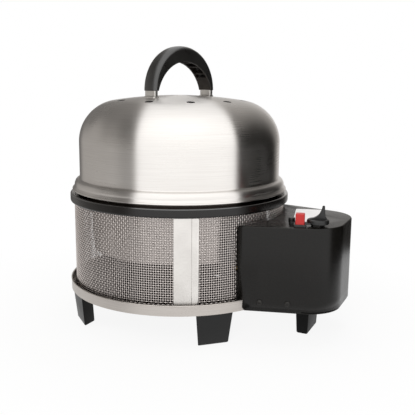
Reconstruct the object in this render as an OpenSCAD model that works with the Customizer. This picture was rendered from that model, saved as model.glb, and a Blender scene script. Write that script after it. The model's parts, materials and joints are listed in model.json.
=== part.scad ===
// Portable gas grill: a domed lid over a grill plate and bowl, a wire mesh basket
// on a footed tray, and a gas box at the side with its tap and igniter.
// Origin on the ground under the middle of the whole grill, +Z up, +X towards the gas box.

/* [Basket] */
// Outer radius of the wire mesh basket
mesh_r = 154; // [140:1:170]
// Thickness of the woven wire
mesh_t = 2.4; // [1.6:0.2:3]
// Height of mesh that shows between the tray and the ring
mesh_show = 114.6; // [110:0.2:140]
// Windows around the basket
mesh_columns = 48; // [48:48:48]
// Rows of windows
mesh_rows = 6; // [6:1:6]
// Width of the bars between windows
mesh_bar = 4; // [2.5:0.5:5]
// Width of the plate that covers the mesh seam
seam_w = 32.5; // [20:0.5:45]
// Direction of the seam plate
seam_angle = -61; // [-80:1:-50]
// Sheet thickness of the seam plate
seam_t = 1.2; // [0.8:0.1:2]

/* [Tray and feet] */
// Height of the feet
foot_h = 44; // [36:1:60]
// Height of the tray wall
tray_h = 14; // [10:0.5:20]
// Sheet thickness of the tray
tray_t = 1.2; // [0.8:0.1:2]
// Room between the basket and the tray wall
tray_gap = 5.8; // [4:0.2:8]
// Width of a foot at the top of its outer face
foot_w_top = 53; // [44:1:58]
// Width of a foot at the bottom of its outer face
foot_w_low = 44; // [36:1:50]
// Width of a foot at its inner face
foot_w_in = 22; // [18:1:30]
// Depth of a foot from outer to inner face
foot_d = 19; // [16:0.5:24]
// How far the outer face leans in from top to bottom
foot_lean = 4.5; // [0:0.5:8]
// Direction of the foot nearest the gas box, from the box
foot_turn = 47; // [42:1:50]
// Diameter of the foot screws
screw_d = 5; // [4:0.5:6]

/* [Ring and bowl] */
// Height of the black ring on top of the basket
ring_h = 12.4; // [10:0.2:18]
// How far the ring stands out past the mesh
ring_out = 5.5; // [4:0.5:8]
// Width of the ledge that carries the bowl, inward from the mesh
ring_ledge = 18; // [14:0.5:19]
// Depth of the step in which the bowl lies
ring_step = 2.5; // [1.5:0.1:4]
// Sheet thickness of the bowl
bowl_t = 1; // [0.8:0.1:1.6]
// Radial room between the mesh and the bowl wall
bowl_room = 23; // [20:0.5:30]
// Depth of the bowl below its ledge
bowl_depth = 81; // [70:1:84]
// Round of the bowl's lower corner
bowl_corner = 3; // [2:0.5:6]
// Radius of the hole in the middle of the bowl
bowl_hole_r = 47; // [44:1:56]
// Height of the cone around that hole
bowl_cone_h = 26; // [15:1:36]

/* [Grill plate] */
// Thickness of the grill plate
plate_t = 3; // [2:0.5:5]
// Height of the plate's skirt
plate_skirt = 7; // [5:0.5:8]
// Drain slots around the plate
plate_slots = 20; // [12:1:28]
// Width of a drain slot
plate_slot_w = 5; // [3:0.5:7]

/* [Lid] */
// Gap between the ring and the rim of the closed lid
lid_gap = 4.5; // [3:0.1:5.5]
// Sheet thickness of the lid
lid_t = 1; // [0.8:0.1:1.4]
// How far the lid wall stands inside the mesh
lid_inset = 8.5; // [8:0.1:9.5]
// How far the rim flares out past the lid wall
lid_flare = 10.2; // [9:0.1:11]
// Height of the straight part of the lid wall
lid_wall_h = 49.5; // [30:0.5:70]
// Radius of the round shoulder
lid_shoulder = 60; // [40:1:70]
// Radius of the crown over the top
lid_crown = 600; // [450:10:900]
// Number of vent holes
vent_count = 10; // [8:2:12]
// Diameter of a vent hole
vent_d = 11.5; // [6:0.5:12]
// Radius of the circle of vent holes
vent_r = 91; // [82:1:100]

/* [Handle] */
// Direction of the handle
handle_angle = 71; // [0:1:180]
// Outer radius of the handle arch
handle_r = 62; // [56:0.5:66]
// Width of the handle strap
handle_w = 25; // [22:1:30]
// Thickness of the arch at its top
handle_top_t = 22; // [15:0.5:24]
// Thickness of the arch at its ends
handle_end_t = 9; // [8:0.1:11]
// Height of the metal posts that show under the handle
post_h = 9; // [8:0.5:16]
// Width of a post
post_w = 20.5; // [14:0.5:22]
// Thickness of a post
post_t = 6; // [5:0.5:7]

/* [Gas box] */
// How far the box reaches out past the mesh
box_reach = 97.5; // [96:0.5:120]
// Height of the box top above the tray floor
box_h = 115; // [112:0.5:122]
// Radius of the two outer corners
box_corner = 49; // [44:0.5:52]
// Half the length of the flat end between the corners
box_end = 21; // [19:0.5:30]
// Angle at which each side closes in towards the end
box_side_a = 13.8; // [10:0.2:15]
// Sheet thickness of the box
box_t = 1.2; // [0.8:0.1:1.6]
// Radius of the gas cartridge
can_r = 42; // [38:0.5:43]
// Height of the cartridge body
can_h = 62; // [52:1:63]
// Wall of the cartridge
can_t = 0.8; // [0.5:0.1:1.2]
// Distance of the box foot's outer face from the end of the box
box_foot_in = 43.5; // [38:0.5:50]
// Depth of the box foot
box_foot_d = 20; // [17:0.5:24]
// Width of the box foot at the bottom
box_foot_w = 50; // [40:1:56]

/* [Controls] */
// Radius of the knob's disc
knob_r = 14.5; // [13:0.5:15]
// Height of the knob's fin above its disc
fin_h = 18; // [12:0.5:24]
// Thickness of the fin
fin_t = 4; // [3:0.5:6]
// Width of the igniter button
button_w = 12; // [9:0.5:13]
// Height of the button above the box
button_h = 17; // [12:0.5:20]
// Travel of the button
button_travel = 6; // [4:0.5:7]
// Width of the pale control plate
panel_w = 38; // [30:1:40]
// Length of the control plate
panel_l = 88; // [70:1:90]
// Thickness of the control plate
panel_t = 0.8; // [0.5:0.1:1.2]

/* [Hidden] */
$fn = 96;

// Clearances: fit between still parts, running gap between moving parts
fit = 0.1;
run = 0.3;
eps = 0.5;

// Heights of the body
tray_z = foot_h;
floor_z = tray_z + tray_t;
tray_top = tray_z + tray_h;
tray_r = mesh_r + tray_gap + tray_t;
mid_x = (mesh_r + box_reach - tray_r) / 2;
ring_z = tray_top + mesh_show;
ring_top = ring_z + ring_h;
ledge_z = ring_top - ring_step;
mesh_in = mesh_r - mesh_t;
mesh_top = ring_z + 6;

// Windows of the basket: columns centred on +X, rows between tray and ring
col_step = 360 / mesh_columns;
win_z = tray_top + 2;
row_step = (ring_z - 2 - win_z) / mesh_rows;
win_w = 2 * mesh_r * sin(col_step / 2) - mesh_bar;
win_h = row_step - mesh_bar;
function row_z(i) = win_z + (i + 0.5) * row_step;

// Feet mirrored about both middle lines, and the one under the box
foot_angles = [foot_turn, 180 - foot_turn, 180 + foot_turn, 360 - foot_turn];
foot_out = mesh_r + 3;
foot_bore_r = foot_out - foot_lean - 8;
arm_t = 2;
arm_w = 50;
box_foot_h = foot_h - arm_t;
head_d = 1.8 * screw_d;
head_h = 0.7 * screw_d;
head_z = foot_h * 0.62;
nut_h = 0.8 * screw_d;

// Bowl, plate and lid, stacked from the ledge of the ring
bowl_z = ledge_z + run;
bowl_wall_r = mesh_r - bowl_room;
bowl_up_r = mesh_in - 4.4;
bowl_floor_z = bowl_z - bowl_depth;
lid_z = ring_top + lid_gap;
lid_r = mesh_r - lid_inset;
lid_wall_z = lid_z + 17;
shoulder_z = lid_wall_z + lid_wall_h;
bead_r = 1.6;
bead_z = lid_z + 11.7;
bead_in = lid_r + 1.5;
plate_z = bowl_z + bowl_t + run;
plate_r = bead_in - bead_r - 2;

// Crown and shoulder of the lid meet without a corner
crown_dx = lid_r - lid_shoulder;
crown_dz = sqrt(pow(lid_crown - lid_shoulder, 2) - pow(crown_dx, 2));
crown_z = shoulder_z - crown_dz;
meet_a = atan2(crown_dz, crown_dx);
function crown_at(r) = crown_z + sqrt(lid_crown * lid_crown - r * r);

// Handle
post_r = handle_r - handle_end_t + post_t / 2;
post_top = crown_at(post_r) + post_h;
arch_z = post_top + 0.5;
arch_in_r = (pow(handle_r - handle_end_t, 2) + pow(handle_r - handle_top_t, 2)) /
  (2 * (handle_r - handle_top_t));
arch_in_z = arch_z + handle_r - handle_top_t - arch_in_r;
handle_wall = 2.5;
handle_skin = 6;
handle_round = 5;
handle_screw_d = 4;

// Gas box
box_z = tray_z + 2.8;
box_top = tray_z + box_h;
box_cx = mesh_r + box_reach - box_corner;
body_clear = 1.2;
cut_r = mesh_r + seam_t + body_clear;
shield_t = 1;
shield_r = cut_r + 0.2;
flange_h = 20;
can_x = mesh_r + box_reach - box_t - can_r - 1.8;
can_y = 8;
can_z = floor_z + nut_h + 2;
can_top = can_z + can_h;
front_dir = [cos(box_side_a), sin(box_side_a)];
front_in = [-sin(box_side_a), cos(box_side_a)];

// Controls: places measured from the front outer corner of the box
corner_y = -box_end;
knob_x = box_cx + 20;
knob_y = corner_y - 25.4;
button_x = knob_x - knob_r - button_w / 2 - 0.8;
button_y = knob_y - 9.3;
panel_x = box_cx - 10;
panel_y = corner_y + 37;
tap_r = 11;
neck_d = 12;
spindle_d = 6;
tap_z = box_top - box_t - 30;
tap_nut_h = 3;
collar_h = 3.2;
knob_z = box_top + collar_h + run;
knob_disc = 6;
igniter_w = 17;
igniter_z = box_top - box_t - 54;
collar_w = button_w + 4.4;

// Burner in the middle, its tube towards the tap through a window of the basket
tube_angle = -2 * col_step;
tube_z = row_z(1);
tube_r = 8;
tube_wall = 1;
stand_z = bowl_floor_z - 4;
head_r = 33;
head_top = stand_z + 23;
shroud_r = 84;
shroud_top = bowl_floor_z - 4;
jet_r = mesh_in - 27;
pipe_r = 3.5;
pipe_z = tap_z + 12;
spark_angle = -60;
spark_r = head_r + 6.5;
lead_angle = -3 * col_step;
lead_z = row_z(0);
lead_r = 1.5;

// Points on an arc, and on a curve drawn by four points
function arc(c, r, a0, a1, n) =
  [for (i = [0 : n]) let (a = a0 + (a1 - a0) * i / n) c + r * [cos(a), sin(a)]];
function curve(p, n) =
  [for (i = [0 : n]) let (t = i / n, u = 1 - t)
    u * u * u * p[0] + 3 * u * u * t * p[1] + 3 * u * t * t * p[2] + t * t * t * p[3]];
function tail(l) = [for (i = [1 : len(l) - 1]) l[i]];
function flip(l) = [for (i = [len(l) - 1 : -1 : 0]) l[i]];

// A line moved sideways by d, to its left, so that two lines enclose a sheet
function unit(v) = v / norm(v);
function left(v) = [-v[1], v[0]];
function side(l, i) = left(unit(l[i + 1] - l[i]));
function moved(l, d) =
  [for (i = [0 : len(l) - 1])
    let (a = side(l, max(i - 1, 0)), b = side(l, min(i, len(l) - 2)))
      let (p = l[i] + d * (a + b) / (1 + a * b)) [max(p[0], 0), p[1]]];
function sheet(l, d) = concat(l, flip(moved(l, d)));

// Outline of the box, moved in by d: the polygon between the two round corners,
// whose sides lie a hair inside the corners' round so that they cross it
function box_poly(d) =
  let (r = box_corner - d - 0.02,
       n = [sin(box_side_a), cos(box_side_a)],
       t = [box_cx, box_end] + r * n,
       b = t + (box_cx - mesh_r * 0.6) * [-cos(box_side_a), sin(box_side_a)],
       e = [box_cx + r, box_end])
    [b, t, e, [e[0], -e[1]], [t[0], -t[1]], [b[0], -b[1]]];

module box_block(d, z0, z1) {
  translate([0, 0, z0]) linear_extrude(z1 - z0) polygon(box_poly(d));
  for (s = [-1, 1])
    translate([box_cx, s * box_end, z0]) cylinder(r = box_corner - d, h = z1 - z0);
}

module ring_of(points) { rotate_extrude($fn = 128) polygon(points); }

module tube(r, wall, h) {
  difference() {
    cylinder(r = r, h = h);
    translate([0, 0, -eps]) cylinder(r = r - wall, h = h + 2 * eps);
  }
}

// A round bar from point a to point b
module bar(a, b, r) {
  v = b - a;
  translate(a)
    rotate([0, acos(v[2] / norm(v)), atan2(v[1], v[0])])
      cylinder(r = r, h = norm(v));
}

// A round bar along a row of points, with ball corners
module bent_bar(points, r) {
  for (i = [0 : len(points) - 2]) bar(points[i], points[i + 1], r);
  for (i = [1 : len(points) - 2]) translate(points[i]) sphere(r = r);
}

// A row of points with its corners rounded over a length d
function rounded(l, d) =
  concat([l[0]],
    [for (i = [1 : len(l) - 2], k = [0 : 4])
      let (a = l[i] + d * unit(l[i - 1] - l[i]), b = l[i] + d * unit(l[i + 1] - l[i]), t = k / 4)
        (1 - t) * (1 - t) * a + 2 * t * (1 - t) * l[i] + t * t * b],
    [l[len(l) - 1]]);

// Cable or pipe with n sides along a row of points
function along(l, i) = unit(l[min(i + 1, len(l) - 1)] - l[max(i - 1, 0)]);
module cable(l, r, n) {
  skew = unit([0.35, 0.9, 0.27]);
  rings = [for (i = [0 : len(l) - 1], k = [0 : n - 1])
    let (t = along(l, i), u = unit(cross(t, skew)), v = cross(t, u), a = k * 360 / n)
      l[i] + r * (cos(a) * u + sin(a) * v)];
  last = (len(l) - 1) * n;
  polyhedron(rings, concat(
    [[for (k = [0 : n - 1]) k], [for (k = [n - 1 : -1 : 0]) last + k]],
    [for (i = [0 : len(l) - 2], k = [0 : n - 1])
      let (m = (k + 1) % n) [i * n + k, (i + 1) * n + k, (i + 1) * n + m]],
    [for (i = [0 : len(l) - 2], k = [0 : n - 1])
      let (m = (k + 1) % n) [i * n + k, (i + 1) * n + m, i * n + m]]));
}

// A block with four upright edges between a lower and an upper outline
module tapered(low, high, z0, z1) {
  pts = concat([for (p = low) [p[0], p[1], z0]], [for (p = high) [p[0], p[1], z1]]);
  polyhedron(pts, [[0, 1, 2, 3], [7, 6, 5, 4], [4, 5, 1, 0], [5, 6, 2, 1], [6, 7, 3, 2], [7, 4, 0, 3]]);
}

// Outline of a foot: outer face at x, the sides closing in to the inner face
function foot_plan(x, w, w_in, d) =
  [[x, -w / 2], [x - d, -w_in / 2], [x - d, w_in / 2], [x, w / 2]];

module foot(x, w_low, w_top, w_in, d, d_low, h, lean, bore_x) {
  // The sides keep their direction, so that each side face is flat
  w_in_low = w_low - (w_top - w_in) * d_low / d;
  difference() {
    tapered(foot_plan(x - lean, w_low, w_in_low, d_low), foot_plan(x, w_top, w_in, d), 0, h);
    translate([bore_x, 0, -eps]) cylinder(d = head_d + 1, h = head_z + head_h + eps);
    translate([bore_x, 0, -eps]) cylinder(d = screw_d + 2 * fit, h = h + 2 * eps);
  }
}

// Puts its children at each foot screw
module at_feet() {
  for (a = foot_angles) rotate(a) translate([foot_bore_r, 0, 0]) children();
  translate([box_bore_x, 0, 0]) children();
}
box_foot_x = mesh_r + box_reach - box_foot_in;
box_bore_x = box_foot_x - box_foot_d / 2 + 2;

module at_rivets() {
  for (x = [mesh_r - 28, mesh_r + 16], y = [-15, 15]) translate([x, y, 0]) children();
}

// Puts its children at the four cover screws, z pointing out of the side
module at_cover_screws() {
  p = box_poly(0)[1];
  for (s = [-1, 1], d = [0.45 * box_corner, 1.2 * box_corner])
    translate([p[0] - d * cos(box_side_a), s * (p[1] + d * sin(box_side_a)), box_z + 10])
      rotate([0, 0, s * (90 - box_side_a)])
        rotate([0, 90, 0]) children();
}

module base_tray() {
  color([0.74, 0.73, 0.71])
    difference() {
      ring_of([[30, tray_z], [tray_r, tray_z], [tray_r, tray_top], [tray_r - tray_t, tray_top],
        [tray_r - tray_t, floor_z], [30, floor_z]]);
      for (i = [0 : 11])
        rotate(30 * i + 15)
          translate([60, 0, tray_z - eps]) cylinder(d = 12, h = tray_t + 2 * eps);
      at_feet() translate([0, 0, tray_z - eps]) cylinder(d = screw_d + 2 * fit, h = tray_t + 2 * eps);
      at_rivets() translate([0, 0, tray_z - eps]) cylinder(d = screw_d + 2 * fit, h = tray_t + 2 * eps);
    }
}

module base_feet() {
  color([0.13, 0.13, 0.13])
    for (a = foot_angles)
      rotate(a)
        foot(foot_out, foot_w_low, foot_w_top, foot_w_in, foot_d, foot_d - 1, foot_h, foot_lean, foot_bore_r);
}

module foot_screws() {
  color([0.6, 0.6, 0.6])
    at_feet() {
      translate([0, 0, head_z]) cylinder(d = head_d, h = head_h);
      translate([0, 0, head_z]) cylinder(d = screw_d, h = floor_z + nut_h + 1 - head_z);
    }
}

module foot_nuts() {
  color([0.6, 0.6, 0.6])
    at_feet()
      translate([0, 0, floor_z])
        difference() {
          cylinder(d = 1.85 * screw_d, h = nut_h, $fn = 6);
          translate([0, 0, -eps]) cylinder(d = screw_d + 2 * fit, h = nut_h + 2 * eps);
        }
}

module mesh_basket() {
  color([0.55, 0.53, 0.5])
    difference() {
      translate([0, 0, floor_z]) tube(mesh_r, mesh_t, mesh_top - floor_z);
      for (i = [0 : mesh_columns - 1], k = [0 : mesh_rows - 1])
        rotate(i * col_step)
          translate([mesh_in - 2, -win_w / 2, row_z(k) - win_h / 2])
            cube([mesh_t + 3, win_w, win_h]);
    }
}

module seam_plate() {
  seam_a = seam_w / mesh_r * 180 / PI;
  color([0.76, 0.75, 0.73])
    rotate(seam_angle - seam_a / 2)
      rotate_extrude(angle = seam_a, $fn = 128)
        translate([mesh_r + fit / 2, floor_z])
          square([seam_t, ring_z - floor_z - fit]);
}

module top_ring() {
  r = mesh_r + ring_out;
  g = 0.3;
  color([0.1, 0.1, 0.1])
    ring_of([[r - 1.5, ring_z], [r, ring_z + 1.5], [r, ring_top - 1.4], [r - 1.4, ring_top],
      [bowl_up_r + 3.4, ring_top], [bowl_up_r + 2.4, ledge_z], [mesh_r - ring_ledge, ledge_z],
      [mesh_r - ring_ledge, mesh_top + g], [mesh_in - 4, mesh_top + g], [mesh_in - 4, ring_z + 1],
      [mesh_in - g, ring_z + 1], [mesh_in - g, mesh_top + g], [mesh_r + g, mesh_top + g],
      [mesh_r + g, ring_z]]);
}

module burner_shroud() {
  color([0.7, 0.7, 0.69])
    difference() {
      translate([0, 0, floor_z]) tube(shroud_r, 1, shroud_top - floor_z);
      rotate(tube_angle - 20)
        translate([0, 0, lead_z - 5])
          rotate_extrude(angle = 34) square([shroud_r + 5, shroud_top]);
      for (i = [0 : 7])
        rotate(30 + 36 * i)
          translate([shroud_r, 0, floor_z + 14])
            rotate([0, 90, 0]) cylinder(d = 10, h = 8, center = true);
    }
}

module burner_stand() {
  leg_w = 20;
  color([0.68, 0.68, 0.67])
    difference() {
      union() {
        translate([0, 0, stand_z - 2]) cylinder(r = spark_r + 6, h = 2);
        rotate(tube_angle)
          for (s = [-1, 1]) {
            translate([-leg_w / 2, s * (spark_r + 3) - 1, floor_z]) cube([leg_w, 2, stand_z - 2 - floor_z]);
            translate([-leg_w / 2, s * (spark_r + 7) - 5, floor_z]) cube([leg_w, 10, 2]);
          }
      }
      translate([0, 0, stand_z - 3]) cylinder(r = tube_r + fit, h = 4);
      rotate(spark_angle) translate([spark_r, 0, stand_z - 3]) cylinder(r = 3 + fit, h = 4);
    }
}

module burner_head() {
  color([0.62, 0.6, 0.56])
    difference() {
      ring_of([[tube_r + fit, stand_z], [head_r, stand_z], [head_r, head_top], [head_r - 2.5, head_top],
        [head_r - 2.5, stand_z + 3], [tube_r + fit, stand_z + 3]]);
      for (i = [0 : 23])
        rotate(15 * i + 7.5)
          translate([head_r, 0, head_top - 6]) rotate([0, 90, 0]) cylinder(d = 3, h = 10, center = true);
    }
}

module burner_cap() {
  color([0.5, 0.49, 0.47])
    ring_of([[0, head_top], [head_r + 1.5, head_top], [head_r + 1.5, head_top + 1.5],
      [head_r - 4, head_top + 4],
      [0, head_top + 4]]);
}

// Elbow: upright in the burner, then level out towards the jet, with a bell mouth
module mixing_tube() {
  bell = jet_r - 22;
  color([0.66, 0.66, 0.65])
    rotate(tube_angle)
      difference() {
        union() {
          bent_bar([[0, 0, stand_z + 3], [0, 0, tube_z], [bell + 1, 0, tube_z]], tube_r);
          translate([bell, 0, tube_z]) rotate([0, 90, 0]) cylinder(r1 = tube_r, r2 = tube_r + 3, h = 10);
        }
        bent_bar([[0, 0, stand_z + 4], [0, 0, tube_z], [bell + 2, 0, tube_z]], tube_r - tube_wall);
        translate([bell + 1, 0, tube_z])
          rotate([0, 90, 0]) cylinder(r1 = tube_r - tube_wall - 0.5, r2 = tube_r + 2.2, h = 10);
      }
}

// Jet holder: a yoke that carries the brass jet in front of the bell mouth
module injector() {
  color([0.72, 0.58, 0.3])
    rotate(tube_angle)
      difference() {
        union() {
          translate([jet_r - 12, 0, tube_z]) rotate([0, 90, 0]) cylinder(r = 4, h = 12);
          translate([jet_r, 0, tube_z]) rotate([0, 90, 0]) cylinder(r = 6, h = 8, $fn = 6);
          for (s = [-1, 1])
            translate([jet_r - 17, s * (tube_r + 4 + fit) - 1, tube_z - 3]) cube([21, 2, 6]);
          translate([jet_r + 2, -tube_r - 5 - fit, tube_z - 3]) cube([2, 2 * (tube_r + 5 + fit), 6]);
        }
        translate([jet_r - 13, 0, tube_z]) rotate([0, 90, 0]) cylinder(d = 1.2, h = 30);
        translate([jet_r + 3, 0, tube_z]) rotate([0, 90, 0]) cylinder(r = pipe_r, h = 10);
      }
}

function tube_point(r) = [r * cos(tube_angle), r * sin(tube_angle), tube_z];

module gas_pipe() {
  color([0.72, 0.6, 0.4])
    cable(rounded([tube_point(jet_r + 3), tube_point(mesh_r + 10), [knob_x, knob_y, tube_z],
      [knob_x, knob_y, tap_z + 3]], 10), pipe_r, 12);
}

module electrode_insulator() {
  color([0.93, 0.92, 0.88])
    rotate(spark_angle)
      translate([spark_r, 0, stand_z - 8])
        difference() {
          union() {
            cylinder(r = 3, h = 24);
            translate([0, 0, 8]) cylinder(r = 4.2, h = 3);
          }
          translate([0, 0, -eps]) cylinder(r = 1 + fit, h = 26);
        }
}

module electrode_pin() {
  color([0.6, 0.6, 0.6])
    rotate(spark_angle)
      translate([spark_r, 0, stand_z - 12]) cylinder(r = 1, h = head_top - 3 - stand_z + 12);
}

function lead_point(r, z) = [r * cos(lead_angle), r * sin(lead_angle), z];

module ignition_lead() {
  p = [spark_r * cos(spark_angle), spark_r * sin(spark_angle)];
  q = [button_x - 5, button_y - 3];
  color([0.15, 0.15, 0.15])
    cable(rounded([[p[0], p[1], stand_z - 12], [p[0], p[1], lead_z], lead_point(100, lead_z),
      lead_point(mesh_r + 10, lead_z), [q[0], q[1], lead_z], [q[0], q[1], igniter_z]], 6), lead_r, 8);
}

// The bowl's sheet is drawn in four rings that touch face to face: rim, wall, floor and cone
bowl_low_r = bowl_wall_r - 4;
bowl_seam_z = bowl_floor_z + bowl_corner + 1;
bowl_foot_r = bowl_hole_r + 15;

module bowl_rim() {
  line = [[bead_in, bead_z], [bead_in, bowl_z + 9], [bowl_up_r, bowl_z + 6], [bowl_up_r, bowl_z],
    [bowl_wall_r, bowl_z], [bowl_wall_r, bowl_z - 3]];
  color([0.6, 0.59, 0.57])
    union() {
      ring_of(sheet(line, -bowl_t));
      rotate_extrude($fn = 128) translate([bead_in, bead_z]) circle(r = bead_r, $fn = 32);
    }
}

module inner_bowl() {
  line = [[bowl_wall_r, bowl_z - 3], [bowl_wall_r, bowl_z - 4], [bowl_low_r, bowl_seam_z + 1],
    [bowl_low_r, bowl_seam_z]];
  color([0.6, 0.59, 0.57]) ring_of(sheet(line, -bowl_t));
}

module bowl_floor() {
  line = concat([[bowl_low_r, bowl_seam_z]],
    arc([bowl_low_r - bowl_corner, bowl_floor_z + bowl_corner], bowl_corner, 0, -90, 8),
    [[bowl_foot_r, bowl_floor_z]]);
  color([0.6, 0.59, 0.57]) ring_of(sheet(line, -bowl_t));
}

module bowl_cone() {
  color([0.6, 0.59, 0.57])
    ring_of(sheet([[bowl_foot_r, bowl_floor_z], [bowl_hole_r + 14, bowl_floor_z],
      [bowl_hole_r + 2, bowl_floor_z + bowl_cone_h - 2],
      [bowl_hole_r, bowl_floor_z + bowl_cone_h]], -bowl_t));
}

module grill_plate() {
  top = plate_z + plate_skirt;
  color([0.2, 0.2, 0.2])
    difference() {
      union() {
        ring_of([[0, top - plate_t], [plate_r - 6, top - plate_t], [plate_r - 4, plate_z],
          [plate_r - 1, plate_z],
          [plate_r, plate_z + 1], [plate_r, top + 1], [plate_r - 1, top + 2], [plate_r - 6, top + 2],
          [plate_r - 8, top], [0, top]]);
        for (k = [0 : 6])
          let (r = 18 + 17 * k)
            ring_of([[r - 2, top - 1], [r + 2, top - 1], [r + 2, top + 1], [r + 1, top + 2], [r - 1, top + 2],
              [r - 2, top + 1]]);
      }
      for (i = [0 : plate_slots - 1])
        rotate(i * 360 / plate_slots) {
          translate([62, -plate_slot_w / 2, plate_z - eps])
            cube([plate_r - 20 - 62, plate_slot_w, plate_skirt + 4]);
          for (x = [62, plate_r - 20])
            translate([x, 0, plate_z - eps]) cylinder(d = plate_slot_w, h = plate_skirt + 4);
        }
    }
}

module lid_dome() {
  rim = [lid_r + lid_flare - 0.3, lid_z + 1.2];
  knee = [lid_r + 2.9, lid_z + 14.5];
  line = concat(
    curve([rim, rim + [-2.7, 6], knee + [4.6, -1.2], knee], 12),
    tail(curve([knee, knee + [-1.9, 0.5], [lid_r, lid_wall_z - 1.6], [lid_r, lid_wall_z]], 6)),
    arc([lid_r - lid_shoulder, shoulder_z], lid_shoulder, 0, meet_a, 18),
    tail(arc([0, crown_z], lid_crown, meet_a, 90, 6)));
  color([0.8, 0.79, 0.77])
    difference() {
      union() {
        ring_of(sheet(line, lid_t));
        rotate_extrude($fn = 128) translate(rim + [-lid_t / 2, 0]) circle(r = 1.2, $fn = 32);
      }
      rotate(handle_angle) {
        for (i = [0 : vent_count - 1])
          rotate((i + 0.5) * 360 / vent_count)
            translate([vent_r, 0, shoulder_z]) cylinder(d = vent_d, h = lid_shoulder + 20);
        for (s = [-1, 1])
          translate([s * post_r, 0, shoulder_z])
            cylinder(d = handle_screw_d + 2 * fit, h = lid_shoulder + 20);
      }
    }
}

// Solid of the arch: rounded on its outer face, between two angles
module arch(r, w, round, a0, a1) {
  rotate([90, 0, 0])
    rotate([0, 0, a0])
      rotate_extrude(angle = a1 - a0)
        polygon(concat([[0, -w / 2]],
          arc([r - round, -w / 2 + round], round, -90, 0, 8),
          arc([r - round, w / 2 - round], round, 0, 90, 8),
          [[0, w / 2]]));
}

module handle_strap() {
  color([0.09, 0.09, 0.09])
    rotate(handle_angle)
      translate([0, 0, arch_z])
        difference() {
          union() {
            difference() {
              arch(handle_r, handle_w, handle_round, -2.4, 182.4);
              arch(handle_r - handle_skin, handle_w - 2 * handle_wall, handle_round - 1, 22, 158);
            }
            for (a = [30 : 20 : 150]) arch(handle_r - 1, handle_w - 1, handle_round, a - 1, a + 1);
          }
          translate([0, 0, arch_in_z - arch_z]) rotate([90, 0, 0])
            cylinder(r = arch_in_r, h = handle_w + 2, center = true);
          translate([-handle_r - 5, -handle_w, -30])
            cube([2 * handle_r + 10, 2 * handle_w, 30 + post_top - arch_z]);
          for (s = [-1, 1])
            translate([s * post_r, 0, -30]) cylinder(d = handle_screw_d + 2 * fit, h = 30 + 10);
        }
}

// The top of the lid as a solid under the posts
module crown_cut() {
  ring_of(concat([[post_r - 12, shoulder_z]],
    [for (i = [0 : 8]) let (r = post_r - 12 + 3 * i) [r, crown_at(r) + fit / 2]],
    [[post_r + 12, shoulder_z]]));
}

module handle_posts() {
  color([0.78, 0.77, 0.75])
    rotate(handle_angle)
      for (s = [-1, 1])
        difference() {
          union() {
            translate([s * post_r - post_t / 2, -post_w / 2, post_top - post_h - 3])
              cube([post_t, post_w, post_h + 3]);
            translate([s * post_r - post_t / 2 - 2, -post_w / 2, post_top - post_h - 3])
              cube([post_t + 4, post_w, 4.6]);
          }
          crown_cut();
          translate([s * post_r, 0, post_top - 30]) cylinder(d = handle_screw_d + 2 * fit, h = 40);
        }
}

module handle_screws() {
  seat = crown_at(post_r + handle_screw_d) - lid_t - 0.8;
  color([0.6, 0.6, 0.6])
    rotate(handle_angle)
      for (s = [-1, 1])
        translate([s * post_r, 0, 0]) {
          translate([0, 0, seat - 3]) cylinder(d = 2 * handle_screw_d, h = 3);
          translate([0, 0, seat - 1]) cylinder(d = handle_screw_d, h = post_top + 9 - seat);
        }
}

module box_cover() {
  color([0.16, 0.155, 0.15])
    difference() {
      box_block(0, box_z, box_top);
      box_block(box_t, box_z - eps, box_top - box_t);
      translate([0, 0, box_z - eps]) cylinder(r = cut_r, h = box_h);
      translate([0, 0, box_z - eps]) cylinder(r = tray_r + 1, h = tray_top + 1 - box_z + eps);
      at_cover_screws() translate([0, 0, -6]) cylinder(d = 4 + 2 * fit, h = 12);
      translate([knob_x, knob_y, box_top - 5]) cylinder(d = neck_d + 2 * fit, h = 10);
      translate([button_x, button_y, box_top])
        rotate(box_side_a) cube([button_w + 2, button_w + 2, 10], center = true);
    }
}

module box_floor() {
  d = box_t + fit;
  color([0.2, 0.2, 0.2])
    difference() {
      union() {
        box_block(d, tray_z, floor_z);
        intersection() {
          difference() {
            box_block(d, floor_z - 0.2, floor_z + flange_h);
            box_block(d + box_t, floor_z - 1, floor_z + flange_h + 1);
          }
          translate([mesh_r * 0.8, -mesh_r, 0]) cube([box_cx + 8 - mesh_r * 0.8, 2 * mesh_r, 200]);
        }
      }
      translate([0, 0, tray_z - eps]) cylinder(r = tray_r + 1, h = tray_h + 4);
      translate([0, 0, tray_top]) cylinder(r = cut_r, h = 60);
      at_cover_screws() translate([0, 0, -8]) cylinder(d = 4 + 2 * fit, h = 12);
      at_feet() translate([0, 0, tray_z - eps]) cylinder(d = screw_d + 2 * fit, h = tray_t + 2 * eps);
      at_rivets() translate([0, 0, tray_z - eps]) cylinder(d = screw_d + 2 * fit, h = tray_t + 2 * eps);
    }
}

module box_arm() {
  color([0.62, 0.61, 0.6])
    difference() {
      translate([mesh_r - 0.8 * arm_w, -arm_w / 2, tray_z - arm_t])
        cube([box_foot_x + 6 - mesh_r + 0.8 * arm_w, arm_w, arm_t]);
      at_feet() translate([0, 0, tray_z - arm_t - eps]) cylinder(d = screw_d + 2 * fit, h = arm_t + 2 * eps);
      at_rivets()
        translate([0, 0, tray_z - arm_t - eps]) cylinder(d = screw_d + 2 * fit, h = arm_t + 2 * eps);
    }
}

module arm_rivets() {
  color([0.66, 0.66, 0.65])
    at_rivets() {
      translate([0, 0, tray_z - arm_t - 2]) cylinder(d = head_d, h = 2);
      translate([0, 0, tray_z - arm_t - 1]) cylinder(d = screw_d, h = arm_t + tray_t + 2);
      translate([0, 0, floor_z]) cylinder(d = head_d, h = 2);
    }
}

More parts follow.
